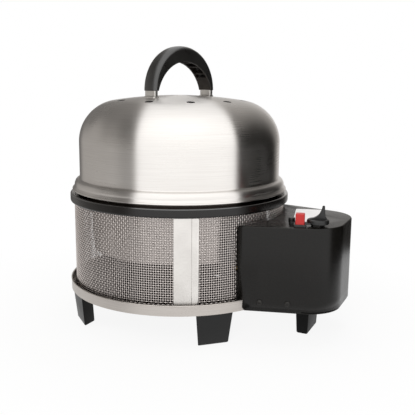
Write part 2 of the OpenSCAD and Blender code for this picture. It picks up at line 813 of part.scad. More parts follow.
module box_foot() {
  color([0.13, 0.13, 0.13])
    foot(box_foot_x + 2, box_foot_w, box_foot_w + 4, box_foot_w, box_foot_d, box_foot_d - 4, box_foot_h, 2,
      box_bore_x);
}

module cover_screws() {
  color([0.25, 0.25, 0.25])
    at_cover_screws() {
      cylinder(d = 8, h = 2.4);
      translate([0, 0, -7]) cylinder(d = 4, h = 8);
    }
}

module heat_shield() {
  color([0.7, 0.7, 0.69])
    intersection() {
      difference() {
        translate([0, 0, tray_top + 2])
          tube(shield_r + shield_t, shield_t, box_top - box_t - fit - tray_top - 2);
        rotate(tube_angle) translate([shield_r, 0, tube_z]) rotate([0, 90, 0])
          cylinder(r = pipe_r + 2, h = 20, center = true);
        rotate(lead_angle) translate([shield_r, 0, lead_z]) rotate([0, 90, 0])
          cylinder(r = lead_r + 2, h = 20, center = true);
      }
      box_block(2 * box_t + 3 * fit, tray_top, box_top);
    }
}

module gas_cartridge() {
  line = concat([[0, 3], [can_r - 8, 3], [can_r - 5, 0], [can_r - 1, 0], [can_r, 1], [can_r, can_h - 22]],
    arc([can_r - 22, can_h - 22], 22, 10, 70, 6),
    [[13, can_h - 0.6], [13, can_h + 4], [5.5, can_h + 4], [5.5, can_h + 13]]);
  color([0.35, 0.45, 0.55])
    translate([can_x, can_y, can_z]) ring_of(sheet(line, can_t));
}

module regulator_head() {
  z = can_top + 4 + fit;
  color([0.72, 0.68, 0.6])
    translate([can_x, can_y, 0])
      difference() {
        union() {
          translate([0, 0, z]) cylinder(r = 15, h = pipe_z + 6 - z);
          translate([0, 0, z]) cylinder(r = 17, h = 6, $fn = 24);
        }
        translate([0, 0, z - eps]) cylinder(r = 5.5 + fit, h = 9 + 2 * eps);
      }
}

module feed_pipe() {
  a = [can_x, can_y];
  b = [knob_x, knob_y];
  v = unit(b - a);
  p = a + 14.5 * v;
  q = b - (tap_r - 0.5) * v;
  color([0.72, 0.6, 0.4])
    difference() {
      bar([p[0], p[1], pipe_z], [q[0], q[1], pipe_z], pipe_r);
      translate([can_x, can_y, 0]) cylinder(r = 15, h = box_top);
      translate([knob_x, knob_y, 0]) cylinder(r = tap_r, h = box_top);
    }
}

module tap_body() {
  color([0.72, 0.62, 0.4])
    translate([knob_x, knob_y, 0])
      difference() {
        union() {
          translate([0, 0, tap_z]) cylinder(r = tap_r, h = box_top - box_t - fit - tap_z);
          translate([0, 0, tap_z]) cylinder(d = neck_d, h = box_top + tap_nut_h + 0.5 - tap_z);
        }
        translate([0, 0, tap_z + 8]) cylinder(d = spindle_d + 2 * fit, h = 60);
        translate([0, 0, tap_z - eps]) cylinder(r = pipe_r, h = 3 + eps);
      }
}

module tap_nut() {
  color([0.6, 0.6, 0.6])
    translate([knob_x, knob_y, box_top])
      difference() {
        cylinder(d = 18, h = tap_nut_h, $fn = 6);
        translate([0, 0, -eps]) cylinder(d = neck_d + 2 * fit, h = tap_nut_h + 2 * eps);
      }
}

module tap_spindle() {
  color([0.7, 0.7, 0.68])
    translate([knob_x, knob_y, tap_z + 8 + run])
      cylinder(d = spindle_d, h = knob_z + knob_disc - 0.8 - tap_z - 8 - run);
}

// Disc with a pointer, and a fin that sweeps up to a tall tip
module control_knob() {
  fin = concat([[-knob_r + 1.5, 0]],
    curve([[-knob_r + 1.5, 1], [-4, 2.5], [4, 5], [6.2, fin_h]], 10),
    [[8.2, fin_h], [9.4, 4], [knob_r - 2, 0]]);
  color([0.1, 0.1, 0.1])
    translate([knob_x, knob_y, knob_z])
      difference() {
        union() {
          cylinder(r = knob_r, h = knob_disc - 1);
          cylinder(r = knob_r - 1.2, h = knob_disc);
          rotate(-129) linear_extrude(3) polygon([[8, -5], [knob_r + 5, -0.8], [knob_r + 5, 0.8], [8, 5]]);
          rotate(26)
            translate([0, fin_t / 2, knob_disc - 0.5]) rotate([90, 0, 0]) linear_extrude(fin_t) polygon(fin);
        }
        translate([0, 0, -eps]) cylinder(d = 18 + 2, h = tap_nut_h + eps);
        translate([0, 0, -eps]) cylinder(d = spindle_d + 0.04, h = knob_disc - 0.8 + eps);
      }
}

module control_plate() {
  color([0.93, 0.93, 0.92])
    translate([panel_x, panel_y, box_top])
      rotate(box_side_a)
        translate([-panel_w / 2, -panel_l / 2, 0]) cube([panel_w, panel_l, panel_t]);
}

module igniter_body() {
  color([0.85, 0.84, 0.8])
    translate([button_x, button_y, igniter_z])
      rotate(box_side_a)
        difference() {
          translate([-igniter_w / 2, -igniter_w / 2, 0])
            cube([igniter_w, igniter_w, box_top - box_t - fit - igniter_z]);
          translate([-button_w / 2 - run, -button_w / 2 - run, box_top - box_t - igniter_z - 22])
            cube([button_w + 2 * run, button_w + 2 * run, 30]);
        }
}

// Frame around the button, with the round boss of its clip
module igniter_collar() {
  color([0.09, 0.09, 0.09])
    translate([button_x, button_y, box_top])
      rotate(box_side_a)
        difference() {
          union() {
            translate([-collar_w / 2, -collar_w / 2, 0]) cube([collar_w, collar_w, collar_h]);
            translate([-collar_w / 2 - 3.5, collar_w + 3.6, 0]) cylinder(r = 4.5, h = 7);
            translate([-collar_w / 2 - 5, collar_w / 2 - 2, 0]) cube([7, collar_w / 2 + 5.6, collar_h]);
          }
          translate([-button_w / 2 - run, -button_w / 2 - run, -1])
            cube([button_w + 2 * run, button_w + 2 * run, 20]);
        }
}

module igniter_button() {
  color([0.84, 0.17, 0.15])
    translate([button_x, button_y, box_top])
      rotate(box_side_a)
        translate([-button_w / 2, -button_w / 2, -12]) cube([button_w, button_w, button_h + 12]);
}

// The pieces are drawn about the basket's axis, then moved to the middle of the grill
module centred() { translate([-mid_x, 0, 0]) children(); }

centred() base_tray();
centred() base_feet();
centred() foot_screws();
centred() foot_nuts();
centred() mesh_basket();
centred() seam_plate();
centred() top_ring();
centred() burner_shroud();
centred() burner_stand();
centred() burner_head();
centred() burner_cap();
centred() mixing_tube();
centred() injector();
centred() gas_pipe();
centred() electrode_insulator();
centred() electrode_pin();
centred() ignition_lead();
centred() inner_bowl();
centred() bowl_rim();
centred() bowl_floor();
centred() bowl_cone();
centred() grill_plate();
centred() lid_dome();
centred() handle_strap();
centred() handle_posts();
centred() handle_screws();
centred() box_cover();
centred() box_floor();
centred() box_arm();
centred() arm_rivets();
centred() box_foot();
centred() cover_screws();
centred() heat_shield();
centred() gas_cartridge();
centred() regulator_head();
centred() feed_pipe();
centred() tap_body();
centred() tap_nut();
centred() tap_spindle();
centred() control_knob();
centred() control_plate();
centred() igniter_body();
centred() igniter_collar();
centred() igniter_button();
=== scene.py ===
# %% [markdown]
# # A portable gas grill, dressed for its portrait
# The solids of this grill come from a CAD frame: where each piece sits and how it
# moves is settled there. This lesson gives the frame its looks. Most pieces that
# show are rebuilt as finer meshes in the same place, the hidden ones keep their
# solids, and every one gets a finish made of shader nodes. Shapes are written in
# millimetres from the foot of the basket's axis, as a maker would draw them.

# %% Load the frame
import json
import math

import bmesh
import bpy
import numpy as np
from mathutils import Matrix, Vector

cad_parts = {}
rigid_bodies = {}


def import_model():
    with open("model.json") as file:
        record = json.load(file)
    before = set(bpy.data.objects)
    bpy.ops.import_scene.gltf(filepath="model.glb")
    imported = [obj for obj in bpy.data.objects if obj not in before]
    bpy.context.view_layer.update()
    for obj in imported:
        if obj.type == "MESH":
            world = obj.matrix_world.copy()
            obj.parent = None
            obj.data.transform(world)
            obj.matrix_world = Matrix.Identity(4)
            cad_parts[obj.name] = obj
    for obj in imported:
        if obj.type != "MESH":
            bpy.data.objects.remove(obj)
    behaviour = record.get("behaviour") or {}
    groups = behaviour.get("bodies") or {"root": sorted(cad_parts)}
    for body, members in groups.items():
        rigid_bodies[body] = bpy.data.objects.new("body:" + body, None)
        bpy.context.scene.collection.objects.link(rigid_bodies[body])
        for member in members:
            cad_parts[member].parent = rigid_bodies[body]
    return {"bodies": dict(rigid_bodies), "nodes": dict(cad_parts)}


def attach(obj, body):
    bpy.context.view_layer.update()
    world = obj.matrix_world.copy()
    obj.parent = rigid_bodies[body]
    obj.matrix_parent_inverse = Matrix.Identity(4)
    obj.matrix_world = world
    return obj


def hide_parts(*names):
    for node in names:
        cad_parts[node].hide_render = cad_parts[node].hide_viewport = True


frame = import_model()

MM = 0.001
AXIS = Vector((-0.04525, 0, 0))
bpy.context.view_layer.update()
print("bodies:", ", ".join(frame["bodies"]))

# %% [markdown]
# ## The camera
# The photograph was taken from a metre away, almost straight in front of the seam
# plate and a little above the lid's crown. A camera can be aimed by eye, but a fit
# of the rims' ellipses gives the place, the two turns and the small roll directly,
# so the matrix is built from them. Blender's camera looks along its own minus Z.

# %% Camera
EYE = AXIS + Vector((0.438, -0.899, 0.349))
YAW, PITCH, ROLL = (math.radians(a) for a in (2.37, 10.86, -0.52))
FOCAL_PX, IMAGE_PX, SENSOR_MM, NEAR_CLIP = 681.3, 415, 36, 0.02
UP = Vector((0, 0, 1))

ahead = Vector((*(AXIS - EYE).xy, 0)).normalized()
across = Vector((ahead.y, -ahead.x, 0))
level = math.cos(YAW) * ahead + math.sin(YAW) * across
right = math.cos(YAW) * across - math.sin(YAW) * ahead
look = math.cos(PITCH) * level - math.sin(PITCH) * UP
upward = math.sin(PITCH) * level + math.cos(PITCH) * UP
cam_x = math.cos(ROLL) * right - math.sin(ROLL) * upward
cam_y = math.sin(ROLL) * right + math.cos(ROLL) * upward

camera = bpy.data.objects.new("Camera", bpy.data.cameras.new("Camera"))
bpy.context.scene.collection.objects.link(camera)
camera.data.sensor_width = SENSOR_MM
camera.data.lens = FOCAL_PX * SENSOR_MM / IMAGE_PX
camera.data.clip_start = NEAR_CLIP
camera.matrix_world = Matrix.Translation(EYE) @ Matrix(
    (cam_x, cam_y, -look)).transposed().to_4x4()
bpy.context.scene.camera = camera
bpy.context.scene.view_settings.view_transform = "Standard"
print(f"camera: {camera.data.lens:.1f} mm lens, {(EYE - AXIS).xy.length:.2f} m from the axis")

# %% [markdown]
# ## Colours
# A colour picked on a screen isn't what a shader wants: screens store tones on a
# curve, and shaders count light. Blender's colour picker hides that step. In a
# script it is done once, here, so that every colour below can be written in the
# usual steps of 255.

# %% Screen colours
def tone(r, g, b):
    """A screen colour as linear RGBA."""
    def linear(v):
        v /= 255
        return v / 12.92 if v <= 0.04045 else ((v + 0.055) / 1.055) ** 2.4
    return (linear(r), linear(g), linear(b), 1)


print("grey 128 on the screen is", round(tone(128, 128, 128)[0], 3), "for the shader")

# %% [markdown]
# ## A word for each node
# A finish is a small tree of shader nodes. It can be drawn in the shader editor,
# but a written tree can be repeated with other values. In full, each node and each
# link takes a line or two. This class has one word for each thing that the trees
# here need: add a node, join two sockets, do a sum, stretch a value, mix colours.

# %% Work on a tree of nodes
class NodeWork:
    """A tree, and short ways to add nodes to it."""

    def __init__(self, tree):
        self.tree = tree

    def add(self, kind, **settings):
        node = self.tree.nodes.new(kind)
        for key, value in settings.items():
            setattr(node, key, value)
        return node

    def join(self, source, target):
        self.tree.links.new(source, target)

    def feed(self, socket, value):
        """Gives a socket a fixed value, or joins it to what another node gives."""
        if isinstance(value, bpy.types.NodeSocket):
            self.join(value, socket)
        else:
            socket.default_value = value

    def math(self, operation, *values):
        """A sum on numbers."""
        node = self.add("ShaderNodeMath", operation=operation)
        for socket, value in zip(node.inputs, values):
            self.feed(socket, value)
        return node.outputs[0]

    def vector(self, operation, *values):
        """A sum on vectors, which gives a vector, or a number for a length."""
        node = self.add("ShaderNodeVectorMath", operation=operation)
        for socket, value in zip(node.inputs, values):
            self.feed(socket, value)
        return node.outputs["Value" if operation == "LENGTH" else "Vector"]

    def spread(self, value, low, high, start=0.3, end=0.7):
        """A value between start and end, as noise mostly is, stretched from low to high."""
        node = self.add("ShaderNodeMapRange")
        self.join(value, node.inputs["Value"])
        names = ("From Min", "From Max", "To Min", "To Max")
        for name, number in zip(names, (start, end, low, high)):
            node.inputs[name].default_value = number
        return node.outputs["Result"]

    def blend(self, factor, low, high):
        """Two colours mixed by a factor."""
        node = self.add("ShaderNodeMix", data_type="RGBA")
        for name, value in (("Factor", factor), ("A", low), ("B", high)):
            self.feed(node.inputs[name], value)
        return node.outputs["Result"]


print("work on a tree:", ", ".join(word for word in vars(NodeWork) if word[0] != "_"))

# %% [markdown]
# ## A finish
# Every surface here starts as a Principled shader, which does for metal, plastic
# and paint alike. A finish opens a material with one and adds what all of them
# need: the place on the piece, noise, and ways into the shader's colour, gloss and
# relief. Image textures would need unwrapped meshes. Noise only needs a place.

# %% A finish under construction
class Finish(NodeWork):
    """A material's tree with a Principled shader."""

    def __init__(self, name, **sockets):
        self.material = bpy.data.materials.new(name)
        self.material.use_nodes = True
        super().__init__(self.material.node_tree)
        self.tree.nodes.clear()
        self.shader = self.add("ShaderNodeBsdfPrincipled")
        self.out = self.add("ShaderNodeOutputMaterial")
        self.show(self.shader)
        for socket, value in sockets.items():
            self.shader.inputs[socket.replace("_", " ")].default_value = value

    def show(self, shader):
        """Makes this shader the one that is seen."""
        self.join(shader.outputs[0], self.out.inputs["Surface"])

    def place(self):
        """Where on the piece we are, in metres from the foot of the basket's axis."""
        return self.vector("SUBTRACT", self.add("ShaderNodeTexCoord").outputs["Object"], AXIS)

    def noise(self, vector, scale, detail=2.0, w=None):
        """Noise in three dimensions, or in four where w is given."""
        node = self.add("ShaderNodeTexNoise", noise_dimensions="3D" if w is None else "4D")
        self.join(vector, node.inputs["Vector"])
        node.inputs["Scale"].default_value = scale
        node.inputs["Detail"].default_value = detail
        if w is not None:
            self.join(w, node.inputs["W"])
        return node.outputs["Fac"]

    def colour(self, source):
        self.join(source, self.shader.inputs["Base Color"])

    def rough(self, source):
        self.join(source, self.shader.inputs["Roughness"])

    def relief(self, height, strength, depth_mm):
        bump = self.add("ShaderNodeBump")
        bump.inputs["Strength"].default_value = strength
        bump.inputs["Distance"].default_value = depth_mm * MM
        self.join(height, bump.inputs["Height"])
        self.join(bump.outputs["Normal"], self.shader.inputs["Normal"])


print("a finish adds:", ", ".join(word for word in vars(Finish) if word[0] != "_"))

# %% [markdown]
# ## The backdrop
# Behind the grill is plain white. A white wall would have to be lit until it clips,
# and that light would also fall on the grill. The world's colour does better: a
# Light Path node lets the camera, glossy and see-through rays find full white there,
# while the matt surfaces are lit by half as much.

# %% World
AMBIENT = 0.5


def light_path_mask(nodes):
    """1 for rays from the camera, off gloss or through glass, 0 for the rest."""
    rays = nodes.add("ShaderNodeLightPath").outputs
    direct = nodes.math("MAXIMUM", rays["Is Camera Ray"], rays["Is Glossy Ray"])
    return nodes.math("MAXIMUM", direct, rays["Is Transmission Ray"])


world = bpy.data.worlds.new("Studio")
bpy.context.scene.world = world
world.use_nodes = True
sky = NodeWork(world.node_tree)
backdrop_light = sky.tree.nodes["Background"]
backdrop_light.inputs["Color"].default_value = (1, 1, 1, 1)
strength = sky.spread(light_path_mask(sky), AMBIENT, 1.0, 0.0, 1.0)
sky.join(strength, backdrop_light.inputs["Strength"])
print("world: white to the camera,", AMBIENT, "to matt surfaces")

# %% [markdown]
# ## The table
# The grill stands on a white table whose edge can't be seen. A studio would roll out
# paper that bends up into a wall. A round plate is enough here: by the same mask as
# above, its material mixes white paint, which keeps the soft shadows near the feet,
# with pure white. Only the latter is left at the rim, which melts into the backdrop.

# %% Table
TABLE_R, TABLE_SIDES, TABLE_DROP = 0.58, 96, 0.0003
WHITE_NEAR, WHITE_FROM, WHITE_TO = 0.9, 0.25, 0.46
table_mesh = bpy.data.meshes.new("table")
table_build = bmesh.new()
bmesh.ops.create_circle(table_build, cap_ends=True, segments=TABLE_SIDES, radius=TABLE_R)
table_build.to_mesh(table_mesh)
table_build.free()
table = bpy.data.objects.new("table", table_mesh)
table.location = AXIS - TABLE_DROP * UP
bpy.context.scene.collection.objects.link(table)

paint = Finish("table_white", Roughness=0.7)
spot = paint.add("ShaderNodeTexCoord").outputs["Object"]
paint.colour(paint.blend(paint.noise(spot, 3.0), tone(232, 231, 229), tone(236, 235, 233)))
whiter = paint.spread(paint.vector("LENGTH", spot), WHITE_NEAR, 1.0, WHITE_FROM, WHITE_TO)
mixed = paint.add("ShaderNodeMixShader")
paint.join(paint.math("MULTIPLY", light_path_mask(paint), whiter), mixed.inputs[0])
paint.join(paint.shader.outputs[0], mixed.inputs[1])
paint.join(paint.add("ShaderNodeEmission").outputs[0], mixed.inputs[2])
paint.show(mixed)
table_mesh.materials.append(paint.material)
print("table:", 2 * TABLE_R, "m across")

# %% [markdown]
# ## What the metal sees
# A polished lid is mostly a picture of the room. In the photograph that picture is
# a bright window from the front up over the top, grey cloth on the left, a dark
# panel on the right, which studios call a flag, and a pale back. The room could be
# modelled with its walls. A studio only hangs up cards of cloth, so a list of cards
# is enough here: a tone, and the directions in which the card hangs, in degrees
# towards the gas box and upwards.

# %% Cards and windows
CARDS = {
    "left cloth": (0.47, ((-105, -5), (-75, -5), (-50, -5), (-89, 17), (-80, -30))),
    "left cloth's fold": (0.31, ((-32, -5), (-65, 28), (-134, 30), (-109, 51))),
    "upper left flag": (0.17, ((-128, -5), (-128, 17), (-108, 23), (-114, 37),
                               (-87, 39), (-71, 51), (-44, 36))),
    "right flag": (0.01, ((95, 5), (119, 0), (134, -1), (131, 23), (144, 17), (110, -30))),
    "rear right cloth": (0.27, ((130, 48), (152, 31), (164, 20))),
    "rear cloth": (0.5, ((166, 45), (175, 26))),
    "rear left cloth": (0.67, ((-155, 0), (-167, 11), (-170, 28))),
}
WINDOW = {
    "front": (1.4, ((-10, 0), (40, 0), (80, 0))),
    "roof": (1.7, ((30, 60),)),
    "rear roof": (1.25, ((-155, 70), (-155, 46))),
    "rear": (0.75, ((-155, 23), (-154, 14))),
}
print("cards:", ", ".join(CARDS))

# %% [markdown]
# Hung cloth has no hard edges. Flat cards in the scene would show theirs, so the tone
# in any direction is a mean of the cards, in which near ones count most. The window
# has two straight edges that are only a little soft: they are the left and right
# border of the bright stripe on the lid.

# %% Tones all around
CARD_FOCUS, WINDOW_FOCUS, NEVER_ZERO = 60, 8, 1e-12
LEFT_EDGE, LEFT_TILT, RIGHT_EDGE, RIGHT_TILT, EDGE_WIDTH = 0.44, 0.084, 0.643, 0.67, 0.06
TENT_STEP, TENT_LOW = 3, -45


def facing(across_deg, up_deg):
    """Directions from angles: towards the gas box, towards the front, upwards."""
    a, e = np.radians(across_deg), np.radians(up_deg)
    return np.stack([np.cos(e) * np.sin(a), np.cos(e) * np.cos(a), np.sin(e)], -1)


def painted(ways, cards, focus):
    """Tones in the given directions: near cards count, far ones fade away."""
    spots = [(*place, card_tone) for card_tone, places in cards.values() for place in places]
    across_deg, up_deg, card_tones = np.array(spots).T
    weight = np.exp(focus * (ways @ facing(across_deg, up_deg).T - 1)) + NEVER_ZERO
    return weight @ card_tones / weight.sum(1)


def soft_edge(value):
    return np.clip(value / EDGE_WIDTH + 0.5, 0, 1)


turns = np.arange(-180, 180 + TENT_STEP, TENT_STEP)
rises = np.arange(TENT_LOW, 90 + TENT_STEP, TENT_STEP)
ways = facing(*np.meshgrid(turns, rises)).reshape(-1, 3)
lit = soft_edge(ways[:, 0] + LEFT_EDGE - LEFT_TILT * ways[:, 1])
lit *= soft_edge(ways[:, 1] - RIGHT_TILT * ways[:, 0] + RIGHT_EDGE)
tones = painted(ways, CARDS, CARD_FOCUS) * (1 - lit) + painted(ways, WINDOW, WINDOW_FOCUS) * lit
print("tones from", round(tones.min(), 3), "to", round(tones.max(), 2))

# %% [markdown]
# The tones go onto a round tent about the table, as a value on each of its
# vertices, so that neighbours run together. An image on the world could do this
# too, but a tent can be kept from the camera and from matt surfaces: only
# reflections see it. Unbleached cloth is a little warm where it is dark.

# %% Tent
TENT_R, TENT_Z = 2.0, 0.26
WARM_CLOTH, WHITE_CLOTH = (1.0, 0.96, 0.92, 1), (1, 1, 1, 1)
WARM_BELOW, WHITE_ABOVE = 0.5, 1.0
columns = len(turns)
tent_points = ways * (1, -1, 1) * TENT_R + (0, 0, TENT_Z)
tent_faces = []
for low in range(0, (len(rises) - 1) * columns, columns):
    for k in range(low, low + columns - 1):
        tent_faces.append((k, k + 1, k + 1 + columns, k + columns))
tent_mesh = bpy.data.meshes.new("tent")
tent_mesh.from_pydata(tent_points.tolist(), [], tent_faces)
tent_mesh.attributes.new("cloth_tone", "FLOAT", "POINT").data.foreach_set("value", tones)
tent = bpy.data.objects.new("tent", tent_mesh)
tent.location = AXIS
bpy.context.scene.collection.objects.link(tent)
tent.visible_camera = tent.visible_diffuse = tent.visible_shadow = False

cloth = Finish("cloth_tones")
cloth_tone = cloth.add("ShaderNodeAttribute", attribute_name="cloth_tone").outputs["Fac"]
cloth_glow = cloth.add("ShaderNodeEmission")
whiteness = cloth.spread(cloth_tone, 0.0, 1.0, WARM_BELOW, WHITE_ABOVE)
cloth.join(cloth_tone, cloth_glow.inputs["Strength"])
cloth.join(cloth.blend(whiteness, WARM_CLOTH, WHITE_CLOTH), cloth_glow.inputs["Color"])
cloth.show(cloth_glow)
cloth.material.cycles.emission_sampling = "NONE"
tent_mesh.materials.append(cloth.material)
print("tent:", len(tent_faces), "facets,", 2 * TENT_R, "m across")

# %% [markdown]
# ## Lamps
# Matt plastic and paint need light that falls on them. Point lamps would throw hard
# shadows, so three large round area lamps stand for soft boxes: one at the front, a
# weaker one on the left and one above. They are hidden from reflections, because the
# tent already gives the metal its windows.

# %% Lamps
LAMP_AIM = Vector((0, 0, 0.15))


def softbox(name, place, size, power):
    lamp = bpy.data.lights.new(name, "AREA")
    lamp.shape, lamp.size, lamp.energy = "DISK", size, power
    obj = bpy.data.objects.new(name, lamp)
    obj.location = AXIS + Vector(place)
    obj.rotation_euler = (LAMP_AIM - Vector(place)).to_track_quat("-Z", "Y").to_euler()
    obj.visible_glossy = False
    bpy.context.scene.collection.objects.link(obj)


softbox("front_box", (0.5, -2.2, 1.5), 1.6, 30)
softbox("left_box", (-2.0, -0.9, 1.3), 1.4, 16)
softbox("top_box", (0.1, 0.4, 2.4), 1.6, 16)

# %% [markdown]
# ## Brushed sheet
# Lid, tray and bowl are spun from sheet and brushed on the lathe, so fine lines run
# around the axis. A stretched picture of lines would show a seam somewhere. Noise in
# four dimensions has none: it takes the direction around the axis, the radius and
# the height at once, coarse in the first and fine in the others. Brushing also
# spreads reflections across the lines, which is what Anisotropic does. Heat browns
# the sheet near the burner. The same brown is painted as shade on the bowl's top
# under the lid and on the inside of the tray's wall.

# %% Brushed round steel
# Heat's brown. It is also painted as shade where the sheet lies in shadow.
HEAT_BROWN_AND_SHADE = tone(62, 56, 52)
LINE_TURNS, LINE_GLOSS, LINE_DEPTH = 2.2, 0.02, 0.05
CLOUD_SCALE, CLOUD_GLOSS = 14.0, 0.03


def brushed_round(name, dark, light, rough, stretch, lines_mm=0.35, relief=0.08, darkened=(),
                  edge=1.0):
    """Sheet brushed around the axis.

    Each darkening row is a measure, and the millimetres at which the sheet is plain and dark.
    The dark is heat brown in some rows and painted shade in others.
    """
    steel = Finish(name, Metallic=1.0, Anisotropic=stretch, Anisotropic_Rotation=0.25,
                   Specular_Tint=(edge, edge, edge, 1))
    split, heading = steel.add("ShaderNodeSeparateXYZ"), steel.add("ShaderNodeSeparateXYZ")
    steel.join(steel.place(), split.inputs[0])
    flat = steel.vector("MULTIPLY", steel.place(), (1, 1, 0))
    steel.join(steel.vector("NORMALIZE", flat), heading.inputs[0])
    measures = {"radius": steel.vector("LENGTH", flat), "height": split.outputs["Z"]}

    where = steel.add("ShaderNodeCombineXYZ")
    for axis in "XY":
        turned_by = steel.math("MULTIPLY", heading.outputs[axis], LINE_TURNS)
        steel.join(turned_by, where.inputs[axis])
    fine = 1 / (lines_mm * MM)
    steel.join(steel.math("MULTIPLY", measures["radius"], fine), where.inputs["Z"])
    lines = steel.noise(where.outputs[0], 1.0, 3.0,
                        w=steel.math("MULTIPLY", measures["height"], fine))

    sheet = steel.blend(steel.spread(lines, 0.0, 1.0), dark, light)
    for measure, plain_at, darkest_at in darkened:
        darkening = steel.spread(measures[measure], 0.0, 1.0, plain_at * MM, darkest_at * MM)
        sheet = steel.blend(darkening, sheet, HEAT_BROWN_AND_SHADE)
    steel.colour(sheet)
    haze = steel.spread(steel.noise(steel.place(), CLOUD_SCALE), -CLOUD_GLOSS, CLOUD_GLOSS)
    gloss = steel.spread(lines, rough - LINE_GLOSS, rough + LINE_GLOSS)
    steel.rough(steel.math("ADD", gloss, haze))
    steel.relief(lines, relief, LINE_DEPTH)
    around = steel.add("ShaderNodeTangent", direction_type="RADIAL", axis="Z")
    steel.join(around.outputs[0], steel.shader.inputs["Tangent"])
    return steel.material


lid_steel = brushed_round("lid_steel", tone(212, 208, 204), tone(226, 223, 219), 0.3, 0.95,
                          relief=0.018)
# Inside the tray's wall the sheet is painted darker: painted shade of the basket's inside.
band_steel = brushed_round("band_steel", tone(180, 174, 168), tone(200, 194, 189), 0.4, 0.6,
                           darkened=(("radius", 159, 157),))
# Dark sheet for the shroud and heat shield: heat tint, and painted shade of the basket's inside.
heat_and_shade_sheet = brushed_round("heat_and_shade_sheet", tone(66, 60, 55), tone(88, 80, 74), 0.5, 0.4, 0.8)
# The bowl's top is painted darker as shade under the lid. Its middle browns from the burner's
# heat.
bowl_sheet = brushed_round("bowl_sheet", tone(206, 197, 191), tone(224, 216, 211), 0.3, 0.8, 0.8,
                           darkened=(("height", 166, 180), ("radius", 112, 66)), edge=0.2)
print("brushed:", lid_steel.name, band_steel.name, heat_and_shade_sheet.name, bowl_sheet.name)

# %% [markdown]
# ## Skins
# Flat sheet, moulded plastic, paint and cast pieces share another recipe: a coarse
# noise shifts the colour and the gloss a little, a fine one gives the skin its
# relief. A tree for each could be written out. What differs is only the size of the
# grain, the gloss and the colour, so one function with those as its values serves
# them all.

# %% A skin with a grain
GRAIN_SHARE, PATCH_SHARE, SKIN_GLOSS, SKIN_DEPTH = 0.4, 0.6, 0.05, 0.06


def skin(name, dark, light, rough, grain_mm, relief, metallic=0.0, patch_mm=30.0,
         squeeze=(1, 1, 1), **sockets):
    """A surface with a grain, and patches of slightly different tone and gloss."""
    coat = Finish(name, Metallic=metallic, **sockets)
    squeezed = coat.vector("MULTIPLY", coat.place(), squeeze)
    patches = coat.noise(coat.place(), 1 / (patch_mm * MM), 3.0)
    grain = coat.noise(squeezed, 1 / (grain_mm * MM), 2.0)
    both = coat.math("MULTIPLY_ADD", grain, GRAIN_SHARE,
                     coat.math("MULTIPLY", patches, PATCH_SHARE))
    coat.colour(coat.blend(coat.spread(both, 0.0, 1.0), dark, light))
    coat.rough(coat.spread(both, rough - SKIN_GLOSS, rough + SKIN_GLOSS))
    coat.relief(grain, relief, SKIN_DEPTH)
    return coat.material


print("a skin's gloss varies by", SKIN_GLOSS, "to either side")

# %% [markdown]
# The black pieces look alike at first, but the enamelled ring, the handle, the feet
# and the painted box differ in gloss, and their light is what tells them apart. The
# ring's upper edge is worn smooth. The handle's hollow side is painted lighter and
# browner, a painted light from below, and the sides of the feet are painted darker
# than their fronts, a painted shade under the tray. Masks inside one finish could do
# this, but a finish of its own for each such place is easier to read and to tune.

# %% Black finishes
ring_enamel = skin("ring_enamel", tone(14, 12, 11), tone(21, 18, 16), 0.26, 1.6, 0.06,
                   Specular_IOR_Level=0.4)
ring_edge = skin("ring_edge", tone(14, 12, 11), tone(21, 18, 16), 0.14, 1.6, 0.03,
                 Specular_IOR_Level=1.0, Coat_Weight=1.0)
handle_moulding = skin("handle_moulding", tone(22, 21, 20), tone(31, 30, 28), 0.3, 0.9, 0.12,
                       Specular_IOR_Level=1.0)
# Lighter and browner, with small patches: painted light from below on the handle's underside.
handle_underside_painted_light = skin("handle_underside_painted_light", tone(28, 25, 22), tone(48, 43, 39), 0.4, 1.4, 0.2,
                     patch_mm=9)
foot_moulding = skin("foot_moulding", tone(10, 10, 10), tone(16, 16, 16), 0.46, 0.7, 0.2,
                     Specular_IOR_Level=0.36)
# Darker and duller: painted shade on the feet's sides under the tray.
foot_side_painted_shade = skin("foot_side_painted_shade", tone(5, 5, 5), tone(9, 9, 9), 0.5, 0.7, 0.2,
                 Specular_IOR_Level=0.12)
box_paint = skin("box_paint", tone(16, 15, 13), tone(22, 20, 18), 0.27, 0.55, 0.06,
                 patch_mm=60, Specular_IOR_Level=0.25)
knob_moulding = skin("knob_moulding", tone(12, 12, 12), tone(19, 19, 19), 0.38, 0.6, 0.1)
# Near black for the vents' cut edges: painted shade.
vent_shade = skin("vent_shade", tone(9, 9, 8), tone(15, 14, 13), 0.6, 0.5, 0.05, patch_mm=3)
# Black oxide on the cover screws. The tap's nut wears it as painted shade under the knob.
black_oxide_and_shade = skin("black_oxide_and_shade", tone(34, 33, 32), tone(52, 50, 48), 0.4, 0.5, 0.1, 0.6,
                   patch_mm=3)
sleeve = skin("sleeve", tone(28, 28, 28), tone(44, 43, 42), 0.6, 0.4, 0.2)
grill_coat = skin("grill_coat", tone(34, 33, 33), tone(62, 60, 58), 0.5, 0.5, 0.3, patch_mm=1.2)
print("black finishes:", ring_enamel.name, "to", grill_coat.name)

# %% [markdown]
# Bare metal has Metallic at one. The posts and the seam plate were polished along one
# direction. Anisotropic could show that, but on small flat pieces the lines themselves
# are seen, so the grain is squeezed along one axis, which draws it out. Colour tells
# the other pieces apart: zinc on the fasteners, brass where the gas flows, and the
# bright button and plate of the controls.

